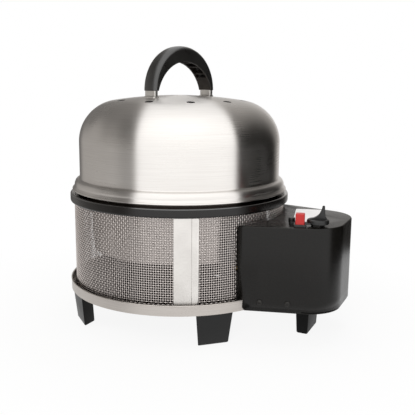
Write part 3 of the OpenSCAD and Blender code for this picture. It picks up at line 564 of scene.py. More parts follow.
# %% Metals and colours
post_steel = skin("post_steel", tone(216, 213, 208), tone(238, 236, 232), 0.34, 0.5, 0.1, 1.0,
                  squeeze=(1, 1, 0.1))
seam_steel = skin("seam_steel", tone(206, 202, 198), tone(226, 223, 219), 0.42, 0.4, 0.1, 1.0,
                  squeeze=(0.06, 0.06, 1))
plain_steel = skin("plain_steel", tone(170, 168, 165), tone(200, 198, 195), 0.45, 1.2, 0.1, 1.0)
burnt_steel = skin("burnt_steel", tone(58, 54, 52), tone(96, 88, 80), 0.5, 1.2, 0.1, 1.0,
                   patch_mm=14)
zinc = skin("zinc", tone(176, 177, 174), tone(206, 205, 196), 0.38, 1.0, 0.08, 1.0, patch_mm=4)
brass = skin("brass", tone(186, 150, 84), tone(212, 178, 110), 0.34, 0.8, 0.06, 1.0, patch_mm=8)
ceramic = skin("ceramic", tone(226, 222, 210), tone(240, 237, 228), 0.2, 1.0, 0.04,
               Coat_Weight=0.5)
can_paint = skin("can_paint", tone(76, 104, 132), tone(92, 120, 146), 0.28, 1.5, 0.04,
                 Coat_Weight=0.4)
button_red = skin("button_red", tone(182, 28, 24), tone(200, 38, 33), 0.3, 0.5, 0.06, patch_mm=8)
plate_white = skin("plate_white", tone(244, 243, 241), tone(251, 250, 249), 0.4, 0.8, 0.05)
print("metals and colours:", post_steel.name, "to", plate_white.name)

# %% [markdown]
# The wire's colour paints light and shade into the weave: a painted highlight on
# the knuckles that stand out, and painted shade in the low places between them.
# An occlusion bake would find those places, but the weave is round: the distance
# from the axis tells one from the other.

# %% Wire
WEAVE_R, PAINTED_SHADE_BELOW, PAINTED_SHINE_ABOVE = 152.8, -0.1, 0.8
wire = Finish("wire_steel", Metallic=1.0, Roughness=0.3)
wire_reach = wire.vector("LENGTH", wire.vector("MULTIPLY", wire.place(), (1, 1, 0)))
painted_shade_edge, painted_shine_edge = (WEAVE_R + PAINTED_SHADE_BELOW) * MM, (WEAVE_R + PAINTED_SHINE_ABOVE) * MM
painted_shine_share = wire.spread(wire_reach, 0.0, 1.0, painted_shade_edge, painted_shine_edge)
# Painted shade in the low places, and a near white painted highlight on the knuckles.
wire.colour(wire.blend(painted_shine_share, tone(84, 76, 73), tone(255, 246, 241)))
print("wire shines from", round(WEAVE_R + PAINTED_SHINE_ABOVE, 1), "mm outwards")

# %% [markdown]
# ## From points to pieces
# Nearly everything here is turned, lofted or pressed. A turned piece is an outline
# of radius and height carried round the axis. A loft joins rings of equally many
# points. Screw and Skin modifiers could do some of this, but plain points and faces
# can be joined, turned and checked before Blender sees them.

# %% Lofts and turned pieces
def loft(rings, looped=False):
    """Points and faces through rings; looped joins the last to the first, others get caps."""
    count = len(rings[0])
    points = [p for ring in rings for p in ring]
    faces = []
    for i in range(len(rings) if looped else len(rings) - 1):
        a, b = i * count, (i + 1) % len(rings) * count
        for k in range(count):
            m = (k + 1) % count
            faces.append((a + k, a + m, b + m, b + k))
    if not looped:
        faces.append(tuple(range(count - 1, -1, -1)))
        faces.append(tuple(range(len(points) - count, len(points))))
    return points, faces


def turned(outline, steps=160, centre=(0, 0)):
    """Points and faces of a closed outline of (radius, height) carried round an upright axis."""
    rings = []
    for i in range(steps):
        a = 2 * math.pi * i / steps
        rings.append([(centre[0] + r * math.cos(a), centre[1] + r * math.sin(a), z)
                      for r, z in outline])
    return loft(rings, looped=True)


def joined(*parts):
    """Several (points, faces) pairs as one."""
    points, faces = [], []
    for more_points, more_faces in parts:
        faces += [tuple(k + len(points) for k in face) for face in more_faces]
        points += more_points
    return points, faces


def turned_to(points, degrees, move=(0, 0, 0)):
    """Points turned about the upright axis, then moved."""
    c, s = math.cos(math.radians(degrees)), math.sin(math.radians(degrees))
    return [(move[0] + c * x - s * y, move[1] + s * x + c * y, move[2] + z) for x, y, z in points]


print("a turned square has", len(turned([(1, 0), (2, 0), (2, 1), (1, 1)])[1]), "faces")

# %% [markdown]
# Outlines are made of arcs and of corners that are a little round. No real edge is
# sharp, and a small round is what catches a line of light. A Bevel modifier could add
# it later, piece by piece. Here corners are eased in the outline itself, so that
# whatever is turned or lofted from it has its rounds from the start.

# %% Outlines
MOST_OF_SIDE = 0.48


def arc(cx, cy, r, start, end, n):
    """n + 1 points on a circle, angles in degrees."""
    angles = [math.radians(start + (end - start) * i / n) for i in range(n + 1)]
    return [(cx + r * math.cos(a), cy + r * math.sin(a)) for a in angles]


def circle(cx, cy, r, n=24):
    return arc(cx, cy, r, 0, 360 - 360 / n, n - 1)


def eased(corners, r, n=4):
    """A closed outline with each corner rounded over a length r."""
    out = []
    for i, corner in enumerate(corners):
        c = Vector(corner)
        before = Vector(corners[i - 1]) - c
        after = Vector(corners[(i + 1) % len(corners)]) - c
        a = c + before.normalized() * min(r, before.length * MOST_OF_SIDE)
        b = c + after.normalized() * min(r, after.length * MOST_OF_SIDE)
        for k in range(n + 1):
            t = k / n
            out.append(tuple((1 - t) ** 2 * a + 2 * t * (1 - t) * c + t * t * b))
    return out


def rounded_rect(w, d, r):
    return eased([(-w / 2, -d / 2), (w / 2, -d / 2), (w / 2, d / 2), (-w / 2, d / 2)], r)


print("a rounded rectangle has", len(rounded_rect(2, 1, 0.1)), "points")

# %% [markdown]
# Every piece needs the same last steps, so they are written once. `mesh_from` makes a
# Blender mesh of the points, welds them and shades it smooth except across sharp
# angles. `put` makes the object, hides the solid that it stands for and ties it to
# the body that carries it. Two finishes on one mesh could be painted by hand. Here a
# test on each face picks the second.

# %% Meshes and pieces
WELD = 1e-6


def mesh_from(name, points_mm, faces, sharp=40):
    """A mesh from points in millimetres, facing outwards and smooth below an angle."""
    mesh = bpy.data.meshes.new(name)
    mesh.from_pydata([Vector(p) * MM for p in points_mm], [], faces)
    build = bmesh.new()
    build.from_mesh(mesh)
    bmesh.ops.remove_doubles(build, verts=build.verts, dist=WELD)
    bmesh.ops.recalc_face_normals(build, faces=build.faces)
    build.to_mesh(mesh)
    build.free()
    mesh.shade_smooth()
    mesh.set_sharp_from_angle(angle=math.radians(sharp))
    return mesh


def two_finishes(mesh, first, second, takes_second):
    for finish in (first, second):
        mesh.materials.append(finish)
    for face in mesh.polygons:
        face.material_index = int(takes_second(face))


def put(name, mesh, body, slot, material, *nodes):
    """Makes the piece: its finish, its body, and the solids that it stands for."""
    mesh.transform(Matrix.Translation(AXIS))
    piece = bpy.data.objects.new(name, mesh)
    bpy.context.scene.collection.objects.link(piece)
    if not mesh.materials:
        mesh.materials.append(material)
    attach(piece, body)
    if nodes:
        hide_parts(*nodes)
    print(f"{name}: {len(mesh.polygons)} faces on {body}, for {', '.join(nodes) or 'no solid'}")
    return piece


print("points closer than", WELD, "m are welded")

# %% [markdown]
# ## The lid
# The lid is spun from one sheet: a straight wall, a round shoulder, an almost flat
# crown, and a flared rim with a groove and a rolled lip. Subdivision could round a
# rough shape, but a lid's reflections show every flat spot, so its outer line is
# drawn as arcs and smooth curves with many points.

# %% Lid line
LID_R, LID_Z, LID_WALL_Z = 145.5, 189.5, 206.5
SHOULDER_R, SHOULDER_Z, CROWN_R = 60.0, 256.0, 600.0
RIM = Vector((LID_R + 9.9, LID_Z + 0.7))
KNEE = Vector((LID_R + 2.9, LID_Z + 14.5))
GROOVE, GROOVE_AT, GROOVE_SPAN = 0.7, 10, 4
WALL_STEPS = 8


def drawn_curve(a, b, c, d, n):
    """A smooth curve from a to d that leaves towards b and arrives from c."""
    out = []
    for i in range(n + 1):
        t, u = i / n, 1 - i / n
        out.append(tuple(u ** 3 * a + 3 * u * u * t * b + 3 * u * t * t * c + t ** 3 * d))
    return out


flare = drawn_curve(RIM, RIM + Vector((-2.7, 6)), KNEE + Vector((4.6, -1.2)), KNEE, 40)
flare = [(r - GROOVE * math.exp(-((k - GROOVE_AT) / GROOVE_SPAN) ** 2), z)
         for k, (r, z) in enumerate(flare)]
flare += drawn_curve(KNEE, KNEE + Vector((-1.9, 0.5)), Vector((LID_R, LID_WALL_Z - 1.6)),
                     Vector((LID_R, LID_WALL_Z)), 10)[1:]

crown_in = LID_R - SHOULDER_R
crown_drop = math.sqrt((CROWN_R - SHOULDER_R) ** 2 - crown_in ** 2)
meet = math.degrees(math.atan2(crown_drop, crown_in))
lid_line = flare + [(LID_R, LID_WALL_Z + k * (SHOULDER_Z - LID_WALL_Z) / WALL_STEPS)
                    for k in range(1, WALL_STEPS)]
lid_line += arc(crown_in, SHOULDER_Z, SHOULDER_R, 0, meet, 40)
lid_line += arc(0, SHOULDER_Z - crown_drop, CROWN_R, meet, 90, 14)[1:]
print("lid line:", len(lid_line), "points, crown at", round(lid_line[-1][1], 1), "mm")

# %% [markdown]
# A second line one sheet further in makes the inside, and a small arc at the rim
# joins the two as the rolled lip. A Solidify modifier would do the same for the
# sheet, but not for the lip.

# %% Lid sheet
LID_SHEET, LIP_R, LIP_STEPS = 1.0, 1.4, 14


def sheet_sides(line):
    """Unit normals at each point of a line, pointing to the right of its travel."""
    along = np.gradient(np.array(line), axis=0)
    side = np.stack([along[:, 1], -along[:, 0]], 1)
    return side / np.linalg.norm(side, axis=1)[:, None]


outer = np.array(lid_line)
outer_n = sheet_sides(lid_line)
outer_n[-1] = (0, 1)
inner = outer - LID_SHEET * outer_n
inner[:, 0] = np.maximum(inner[:, 0], 0)
lip = (RIM.x - LID_SHEET / 2, RIM.y)
start = int(np.argmax(np.hypot(*(outer - lip).T) > LIP_R))
lip_from = math.degrees(math.atan2(*(outer[start] - lip)[::-1]))
lip_to = math.degrees(math.atan2(*(inner[start] - lip)[::-1])) - 360
lid_outline = [tuple(p) for p in outer[:start - 1:-1]]
lid_outline += arc(*lip, LIP_R, lip_from, lip_to, LIP_STEPS)
lid_outline += [tuple(p) for p in inner[start:]]
print("lid outline:", len(lid_outline), "points")

# %% [markdown]
# Ten vents go through the shoulder. They could be modelled into the grid of faces,
# but a Boolean cuts them cleanly at any place. It also hands the cutter's dark
# finish to the cut edges, which paints shade into the vents.

# %% Lid vents
VENTS, VENT_D, VENT_RING, VENT_Z, HANDLE_ANGLE = 10, 11.5, 91.0, (300, 335), 71.0
ROUND_STEPS = 192


def cut_by(mesh, cutter_mesh):
    """A mesh with another cut out of it."""
    blank = bpy.data.objects.new("blank", mesh)
    cutter = bpy.data.objects.new("cutter", cutter_mesh)
    for obj in (cutter, blank):
        bpy.context.scene.collection.objects.link(obj)
    cut = blank.modifiers.new("cut", "BOOLEAN")
    cut.object, cut.operation, cut.solver = cutter, "DIFFERENCE", "EXACT"
    cut.material_mode = "TRANSFER"
    bpy.context.view_layer.update()
    depsgraph = bpy.context.evaluated_depsgraph_get()
    result = bpy.data.meshes.new_from_object(blank.evaluated_get(depsgraph))
    for obj in (blank, cutter):
        bpy.data.objects.remove(obj)
    return result


lid_mesh = mesh_from("lid", *turned(lid_outline, ROUND_STEPS), sharp=60)
lid_mesh.materials.append(lid_steel)
vent_parts = []
for i in range(VENTS):
    a = math.radians(HANDLE_ANGLE + (i + 0.5) * 360 / VENTS)
    x, y = VENT_RING * math.cos(a), VENT_RING * math.sin(a)
    vent_parts.append(loft([[(x + px, y + py, z) for px, py in circle(0, 0, VENT_D / 2)]
                            for z in VENT_Z]))
vent_mesh = mesh_from("vents", *joined(*vent_parts))
vent_mesh.materials.append(vent_shade)
vented_lid = cut_by(lid_mesh, vent_mesh)
print("lid finishes:", [m.name for m in vented_lid.materials])

# %% [markdown]
# The cut leaves odd faces around each vent, and their shading would show as dents
# in the reflections. A Weighted Normal modifier would only soften these. The sheet's
# true normals are known from its line, so they are written back onto every face that
# lies along the sheet.

# %% Lid shading
ON_SHEET, ALONG_SHEET, AXIS_NEAR = 1.15, 0.85, 1e-6


def nearest_on(line, rz):
    """For each point: its distance to a line, and the step and share where it is nearest."""
    a, step = line[:-1], line[1:] - line[:-1]
    t = np.einsum("ijk,jk->ij", rz[:, None] - a, step) / np.einsum("jk,jk->j", step, step)
    t = np.clip(t, 0, 1)
    gap = np.linalg.norm(a + t[..., None] * step - rz[:, None], axis=2)
    k = gap.argmin(1)
    return gap.min(1), k, t[np.arange(len(k)), k][:, None]


def smooth_sheet_normals(mesh, line, normals):
    """Writes the turned sheet's own normals onto every face that lies along the sheet."""
    co = np.zeros(len(mesh.vertices) * 3)
    mesh.vertices.foreach_get("co", co)
    co = co.reshape(-1, 3) / MM
    radius = np.hypot(co[:, 0], co[:, 1])
    gap, k, share = nearest_on(line, np.stack([radius, co[:, 2]], 1))
    flat = normals[:-1][k] * (1 - share) + normals[1:][k] * share
    way = co[:, :2] / np.maximum(radius, AXIS_NEAR)[:, None]
    smooth = np.stack([flat[:, 0] * way[:, 0], flat[:, 0] * way[:, 1], flat[:, 1]], 1)
    smooth /= np.linalg.norm(smooth, axis=1)[:, None]
    out = np.array([n.vector for n in mesh.corner_normals])
    for face in mesh.polygons:
        for loop in face.loop_indices:
            v = mesh.loops[loop].vertex_index
            along = np.array(face.normal) @ smooth[v]
            if gap[v] < ON_SHEET * LID_SHEET and abs(along) > ALONG_SHEET:
                out[loop] = smooth[v] * np.sign(along)
    mesh.normals_split_custom_set([tuple(n) for n in out])


smooth_sheet_normals(vented_lid, outer, outer_n)
put("lid_shell", vented_lid, "lid", "steel", lid_steel, "lid_dome")

# %% [markdown]
# ## The handle
# A moulded arch, thick at the top and slimmer at its ends, rounded outside and
# hollow inside with cross ribs. A curve with a bevel would keep one section all
# along. A loft lets each section differ: a U whose channel closes at both ends.

# %% Handle sections
ARCH_Z, ARCH_R, ARCH_W, ARCH_WALL, ARCH_SKIN, POST_TOP = 329.69, 62.0, 25.0, 2.5, 6.0, 329.19
ARCH_ROUND, ARCH_CROWN, CREST_SHARE, CHANNEL_CORNER = 5.0, 1.4, 0.86, 2.5
INNER_R, INNER_Z = 55.11, 314.58
SOLID_END, HOLLOW_STEPS = (-0.4, 3, 8, 13, 18, 22), 40


def inner_reach(theta):
    """Distance from the arch centre to its inner face."""
    d = INNER_Z - ARCH_Z
    s = math.sin(theta)
    return d * s + math.sqrt(INNER_R ** 2 - d * d * (1 - s * s))


def arch_point(theta, reach, y):
    return (reach * math.cos(theta), y, max(ARCH_Z + reach * math.sin(theta), POST_TOP))


def arch_ring(degrees, hollow):
    """One section of the arch: round outside, with a channel inside where it is hollow."""
    theta = math.radians(degrees)
    near, half, wall = inner_reach(theta), ARCH_W / 2, ARCH_W / 2 - ARCH_WALL
    bend = arc(ARCH_R - ARCH_CROWN - ARCH_ROUND, half - ARCH_ROUND, ARCH_ROUND, 90, 16, 7)
    edge = bend[-1][1]
    crest = [(ARCH_R - ARCH_CROWN * (y / edge) ** 2 * CREST_SHARE, y)
             for y in np.linspace(edge, -edge, 9)[1:-1]]
    outside = [(near, half)] + bend + crest
    outside += [(r, -y) for r, y in reversed(bend)] + [(near, -half)]
    deep = ARCH_R - ARCH_SKIN if hollow else near
    turn = max(near, deep - CHANNEL_CORNER)
    inside = [(near, -wall), (turn, -wall), (deep, -wall + CHANNEL_CORNER),
              (deep, wall - CHANNEL_CORNER), (turn, wall), (near, wall)]
    return [arch_point(theta, r, y) for r, y in outside + inside]


hollow_span = 180 - 2 * SOLID_END[-1]
stops = [(a, False) for a in SOLID_END]
stops += [(SOLID_END[-1] + hollow_span * k / HOLLOW_STEPS, True) for k in range(HOLLOW_STEPS + 1)]
stops += [(180 - a, False) for a in reversed(SOLID_END)]
arch_parts = [loft([arch_ring(a, hollow) for a, hollow in stops])]
print("handle:", len(stops), "sections")

# %% [markdown]
# The ribs are small plates across the channel. A Boolean could join them to the arch.
# It is enough that they reach into its walls, where the joint can't be seen. The
# channel, its ribs and the faces that look towards the lid get the lighter, browner
# finish, a painted light from below, the rest the glossy one: each face is asked
# where it lies and which way it looks. A Bevel modifier breaks the edges that are
# left.

# %% Handle ribs and finish
RIB_AT, RIB_HALF, RIB_GAP = range(30, 151, 20), 1.1, 0.3
RIB_SINK, RIB_SHY, RIB_CORNER = 3, 1.5, 4
EDGE_ROUND, EDGE_ANGLE = 0.5, 40
INWARD, WALL_SLACK, SKIN_SLACK = -0.3, 0.2, 1


def rib_side(degrees):
    """One side of a rib, with its two outer corners cut off."""
    theta = math.radians(degrees)
    near, far, half = inner_reach(theta) + RIB_GAP, ARCH_R - RIB_SINK, ARCH_W / 2 - RIB_SHY
    low, narrow = far - RIB_CORNER, half - RIB_CORNER
    outline = ((near, -half), (low, -half), (far, -narrow),
               (far, narrow), (low, half), (near, half))
    return [arch_point(theta, r, y) for r, y in outline]


arch_parts += [loft([rib_side(at - RIB_HALF), rib_side(at + RIB_HALF)]) for at in RIB_AT]
arch_points, arch_faces = joined(*arch_parts)
arch_mesh = mesh_from("handle_arch", turned_to(arch_points, HANDLE_ANGLE), arch_faces, 32)
unturn = Matrix.Rotation(math.radians(-HANDLE_ANGLE), 3, "Z")


def in_channel(face):
    """Whether a face of the handle lies in its channel or looks towards the lid."""
    spot = unturn @ face.center / MM - Vector((0, 0, ARCH_Z))
    way = unturn @ face.normal
    between = abs(spot.y) < ARCH_W / 2 - ARCH_WALL + WALL_SLACK
    below = math.hypot(spot.x, spot.z) < ARCH_R - ARCH_SKIN + SKIN_SLACK
    return between and below or way.x * spot.x + way.z * spot.z < INWARD * ARCH_R


# The channel and the underside take the finish with painted light from below.
two_finishes(arch_mesh, handle_moulding, handle_underside_painted_light, in_channel)
strap = put("handle_arch", arch_mesh, "lid", "black_plastic", handle_moulding, "handle_strap")
bevel = strap.modifiers.new("edges", "BEVEL")
bevel.width, bevel.segments, bevel.harden_normals = EDGE_ROUND * MM, 2, True
bevel.limit_method, bevel.angle_limit = "ANGLE", math.radians(EDGE_ANGLE)

# %% [markdown]
# Two polished posts carry the handle on the crown. Each is a flat bar with a wider
# foot. Two bevelled boxes would meet in a hard step, so a post is lofted through four
# rounded rectangles, and the step is a slope that shines.

# %% Handle posts
POST_AT, POST_W, POST_T, POST_LOW, POST_IN = 56.0, 20.5, 6.0, 317.6, 0.6
POST_FOOT_WIDER, POST_FOOT_TOP, POST_BAR_FROM = 4, 321.2, 322.4
post_bar = rounded_rect(POST_T, POST_W, r=1.2)
post_foot = rounded_rect(POST_T + POST_FOOT_WIDER, POST_W, r=1.6)
post_rows = ((post_foot, POST_LOW), (post_foot, POST_FOOT_TOP), (post_bar, POST_BAR_FROM),
             (post_bar, POST_TOP + POST_IN))
post_parts = [loft([[(x + px, py, z) for px, py in rect] for rect, z in post_rows])
              for x in (-POST_AT, POST_AT)]
post_points, post_faces = joined(*post_parts)
put("post_pair", mesh_from("post_pair", turned_to(post_points, HANDLE_ANGLE), post_faces, 30),
    "lid", "steel", post_steel, "handle_posts")

# %% [markdown]
# ## The basket
# The basket is woven: upright wires pass in front of and behind the level ones by
# turns. A picture of a weave would do from afar, but real wires give the depth,
# the view through to the bowl and the moiré at the sides. Each wire is a four-sided
# tube with one bend at each crossing. Smooth shading makes it look round.

# %% Wires
UPRIGHTS, LEVELS = 302, 36
WEAVE_LOW, WEAVE_HIGH, MESH_SHOWS = 46.0, 178.0, (58.0, 172.6)
LEVEL_GAP = (MESH_SHOWS[1] - MESH_SHOWS[0]) / LEVELS


def tube_faces(rings, looped):
    """Faces of a four-sided tube, numbered as its rings of points; open ones get end caps."""
    k = np.arange(rings if looped else rings - 1)[:, None]
    m = (k + 1) % rings
    q = np.arange(4)[None]
    w = (q + 1) % 4
    faces = np.stack([4 * k + q, 4 * k + w, 4 * m + w, 4 * m + q], 2).reshape(-1, 4)
    last = 4 * (rings - 1)
    ends = np.array([[3, 2, 1, 0], [last, last + 1, last + 2, last + 3]])
    return faces if looped else np.concatenate([faces, ends])


def weave(name, wires, looped):
    """One mesh of many four-sided wires, each given by the four points of every ring."""
    count = wires.shape[1]
    first = (np.arange(len(wires)) * count * 4)[:, None, None]
    faces = (tube_faces(count, looped)[None] + first).reshape(-1, 4)
    mesh = bpy.data.meshes.new(name)
    mesh.from_pydata((wires.reshape(-1, 3) * MM).tolist(), [], faces.tolist())
    mesh.shade_smooth()
    return mesh


levels = np.arange(WEAVE_LOW + LEVEL_GAP / 2, WEAVE_HIGH, LEVEL_GAP)
angles = 2 * np.pi * (np.arange(UPRIGHTS) + 0.5) / UPRIGHTS
odd = (np.arange(UPRIGHTS)[:, None] + np.arange(len(levels))[None]) % 2
parity = np.where(odd, 1.0, -1.0)
print("weave:", UPRIGHTS, "by", len(levels), "wires")

# %% [markdown]
# At a crossing where the upright wire bends outwards, the level one bends inwards.
# Two waves could be set against each other for this. It is surer that both take their
# bend from the same table of odd and even crossings, with opposite signs.

# %% Upright and level wires
WIRE_R, SIDES = 0.55, ((1, 0), (0, 1), (-1, 0), (0, -1))
no_bend = np.zeros((UPRIGHTS, 1))
bends = np.concatenate([no_bend, parity, no_bend], 1) * WIRE_R
heights = np.concatenate([[WEAVE_LOW], levels, [WEAVE_HIGH]])
upright = np.zeros((UPRIGHTS, len(heights), 4, 3))
for q, (out, along) in enumerate(SIDES):
    reach = WEAVE_R + bends + WIRE_R * out
    turn = angles[:, None] + WIRE_R * along / WEAVE_R
    upright[:, :, q, 0] = reach * np.cos(turn)
    upright[:, :, q, 1] = reach * np.sin(turn)
    upright[:, :, q, 2] = heights[None]
put("upright_wires", weave("upright_wires", upright, False), "body", "mesh_wire",
    wire.material, "mesh_basket")

hoop = np.zeros((len(levels), UPRIGHTS, 4, 3))
for q, (out, along) in enumerate(SIDES[::-1]):
    reach = WEAVE_R - parity.T * WIRE_R + WIRE_R * out
    hoop[:, :, q, 0] = reach * np.cos(angles)[None]
    hoop[:, :, q, 1] = reach * np.sin(angles)[None]
    hoop[:, :, q, 2] = levels[:, None] + WIRE_R * along
put("level_wires", weave("level_wires", hoop, True), "body", "mesh_wire", wire.material)

# %% [markdown]
# ## The seam plate
# A plain plate covers the seam of the mesh. It is bent to the basket's curve, and
# one long edge is folded back on itself, which shows as a raised strip. A flat
# plate with a Simple Deform modifier could be bent, but here each point is placed
# on the curve at once, with the fold and the eased rim as small steps in radius.

# %% Seam plate
SEAM_AT, SEAM_W, SEAM_IN, SEAM_SHEET, SEAM_Z = -61.0, 32.5, 154.05, 0.8, (45.4, 172.4)
FOLD_W, FOLD_UP, FOLD_STEP, RIM_W, RIM_DOWN = 9.5, 0.55, 0.5, 0.4, 0.25
PLAIN_W = SEAM_W - FOLD_W
across_mm = [0, RIM_W] + [k * PLAIN_W / 10 for k in range(1, 11)] + [PLAIN_W + FOLD_STEP]
across_mm += [PLAIN_W + FOLD_STEP + k * (FOLD_W - 2 * FOLD_STEP) / 4 for k in range(1, 5)]
across_mm.append(SEAM_W)
seam_rings = []
for z in (SEAM_Z[0], SEAM_Z[0] + RIM_W, SEAM_Z[1] - RIM_W, SEAM_Z[1]):
    front, back = [], []
    for w in across_mm:
        a = math.radians(SEAM_AT) + (w - SEAM_W / 2) / SEAM_IN
        up = FOLD_UP if w > PLAIN_W + FOLD_STEP / 2 else 0.0
        rim = RIM_DOWN if z in SEAM_Z or w in (0, SEAM_W) else 0.0
        r = SEAM_IN + SEAM_SHEET + up - rim
        front.append((r * math.cos(a), r * math.sin(a), z))
        back.append((SEAM_IN * math.cos(a), SEAM_IN * math.sin(a), z))
    seam_rings.append(front + back[::-1])
put("seam_cover", mesh_from("seam_cover", *loft(seam_rings), sharp=30), "body", "steel",
    seam_steel, "seam_plate")

# %% [markdown]
# ## The top ring
# An enamelled ring closes the basket, holds the upper ends of the wires in a groove
# below and carries the bowl on a ledge inside. Stacked cylinders would have its size
# but not its small rounds, and each of these is a line of light in the photograph.
# So it is turned from one outline with eased corners. The faces that look up get the
# smooth finish of a rubbed edge.

# %% Top ring
RING_OUTLINE = [
    (158.0, 172.6), (159.5, 174.1), (159.5, 183.6), (158.1, 185.0), (150.6, 185.0),
    (149.6, 182.5), (136.0, 182.5), (136.0, 178.9), (147.6, 178.9), (147.6, 173.6),
    (151.3, 173.6), (151.3, 178.9), (154.3, 178.9), (154.3, 172.6)]
LOOKS_UP = 0.3
ring_mesh = mesh_from("rim_ring", *turned(eased(RING_OUTLINE, 1.5, 5), ROUND_STEPS), sharp=50)
two_finishes(ring_mesh, ring_enamel, ring_edge, lambda face: face.normal.z > LOOKS_UP)
put("rim_ring", ring_mesh, "body", "black_plastic", ring_enamel, "top_ring")

# %% [markdown]
# The tray's wall ends in a rolled hem, so that the sheet's edge doesn't cut. Blender's
# torus would do. A circle carried round the axis is the same thing, and its facets
# line up with the ring's. The tray keeps its solid, and the hem is added.

# %% Tray hem
HEM_R, HEM_AT = 1.0, (160.4, 57.6)
put("tray_hem", mesh_from("tray_hem", *turned(circle(*HEM_AT, HEM_R), ROUND_STEPS)),
    "body", "steel", band_steel)

# %% [markdown]
# ## Feet
# Four moulded feet stand under the tray and a fifth under the gas box. Each tapers
# towards the ground and closes in towards the middle of the grill. A scaled cube
# has the taper but no rounds, so they are lofts between a lower and an upper outline
# with eased corners and a small round at the sole.

# %% Feet
FEET_AT, FOOT_CORNER = (47, 133, 227, 313), 2.2
# Each row: how far up the taper it is, its height, and how far its outline is drawn in.
SOLE = ((0, 0.0, 1.2), (0, 0.5, 0.4), (0.03, 1.4, 0.0))
LOOKS_OUT = 0.6


def moulded_foot(x, lean, w_low, w_top, w_in, d_low, d_top, height):
    """A foot whose sides keep their direction from the sole to the top."""
    w_in_low = w_low - (w_top - w_in) * d_low / d_top
    rings = []
    for t, z, inset in SOLE + ((0.5, height / 2, 0), (1, height, 0)):
        front = x - lean * (1 - t) - inset
        w = w_low + (w_top - w_low) * t - 2 * inset
        wi = w_in_low + (w_in - w_in_low) * t - inset
        back = front - (d_low + (d_top - d_low) * t - 2 * inset)
        outline = eased([(front, -w / 2), (back, -wi / 2), (back, wi / 2), (front, w / 2)],
                        FOOT_CORNER)
        rings.append([(px, py, z) for px, py in outline])
    return loft(rings)


def foot_turned_aside(face):
    return face.normal.dot(Vector((*face.center.xy, 0)).normalized()) < LOOKS_OUT


foot_points, foot_faces = moulded_foot(x=157.0, lean=4.5, w_low=44.0, w_top=53.0, w_in=22.0,
                                       d_low=18.0, d_top=19.0, height=44.0)
feet = joined(*((turned_to(foot_points, at), foot_faces) for at in FEET_AT))
feet_mesh = mesh_from("tray_feet", *feet, sharp=30)
# Faces turned aside take the darker finish: painted shade under the tray.
two_finishes(feet_mesh, foot_moulding, foot_side_painted_shade, foot_turned_aside)
put("tray_feet", feet_mesh, "body", "black_plastic", foot_moulding, "base_feet")
# The box foot wears the darker finish all over: painted shade under the box.
box_foot = moulded_foot(x=210.0, lean=2.0, w_low=50.0, w_top=54.0, w_in=50.0,
                        d_low=16.0, d_top=20.0, height=42.0)
put("outer_foot", mesh_from("outer_foot", *box_foot, sharp=30), "body", "black_plastic",
    foot_side_painted_shade, "box_foot")

# %% [markdown]
# ## The gas box
# The cover is folded from one sheet: a U-shaped wall with two wide corners and
# a flat top, open towards the basket and below. A bevelled box could be cut to it,
# but the sides run at a slant and end on the basket's curve, so the outline is
# worked out. It is drawn for one half, from the basket to the middle of the end,
# and mirrored.

# %% Box outline
BOX_CX, BOX_END, BOX_CORNER, BOX_SIDE, BOX_CUT, TRAY_CUT = 202.5, 21.0, 49.0, 13.8, 156.4, 162.0
BOX_SLANT = math.radians(BOX_SIDE)
TO_BASKET = Vector((-math.cos(BOX_SLANT), -math.sin(BOX_SLANT)))


def box_half(inset):
    """Outline of the box on its front half, from the basket to the middle of its end."""
    r = BOX_CORNER - inset
    turn = arc(BOX_CX, -BOX_END, r, -90 + BOX_SIDE, 0, 22)
    t = Vector(turn[0])

    def meets(radius):
        b, c = t.dot(TO_BASKET), t.dot(t) - radius ** 2
        return tuple(t + TO_BASKET * (-b - math.sqrt(b * b - c)))
    straight = [meets(BOX_CUT), meets(TRAY_CUT)]
    straight += [tuple(Vector(straight[1]).lerp(t, k / 4)) for k in (1, 2, 3)]
    return straight + turn + [(BOX_CX + r, -BOX_END * k / 2) for k in (1, 0)]


def box_path(inset):
    front = box_half(inset)
    return front + [(x, -y) for x, y in front[-2::-1]]


print("box outline:", len(box_path(0)), "points")

# %% [markdown]
# The wall is swept up along the U and rolls over into the top with a small round.
# Its lowest row leaves out the first and last face, where the cover is notched for
# the tray. The inside could be drawn as well, as the lid's was. This sheet has no
# lip, so a Solidify modifier gives it its thickness.

# %% Box cover
BOX_Z, NOTCH_Z, MID_ROW, BOX_TOP, BOX_ROUND, BOX_SHEET = 46.8, 59.0, 110.0, 159.0, 1.8, 1.2
ROLL_STEPS, BASKET_STEPS = 5, 24
rows = [(0.0, BOX_Z), (0.0, NOTCH_Z), (0.0, MID_ROW)]
for k in range(ROLL_STEPS + 1):
    a = math.pi / 2 * k / ROLL_STEPS
    rows.append((BOX_ROUND - BOX_ROUND * math.cos(a),
                 BOX_TOP - BOX_ROUND + BOX_ROUND * math.sin(a)))
path_count = len(box_path(0))
cover_points = [(x, y, z) for inset, z in rows for x, y in box_path(inset)]
cover_faces = []
for i in range(len(rows) - 1):
    for k in range(path_count - 1):
        notched = i == 0 and k in (0, path_count - 2)
        a, b = i * path_count + k, (i + 1) * path_count + k
        if not notched:
            cover_faces.append((a, a + 1, b + 1, b))
top_start = (len(rows) - 1) * path_count
top_ends = (cover_points[-1], cover_points[top_start])
swing = [math.degrees(math.atan2(y, x)) for x, y, _ in top_ends]
cover_points += [(x, y, BOX_TOP) for x, y in arc(0, 0, BOX_CUT, *swing, BASKET_STEPS)[1:-1]]
cover_faces.append(tuple(range(top_start, len(cover_points))))
cover = put("box_shell", mesh_from("box_shell", cover_points, cover_faces, 40), "body",
            "box_paint", box_paint, "box_cover")
thick = cover.modifiers.new("sheet", "SOLIDIFY")
thick.thickness, thick.offset = BOX_SHEET * MM, -1

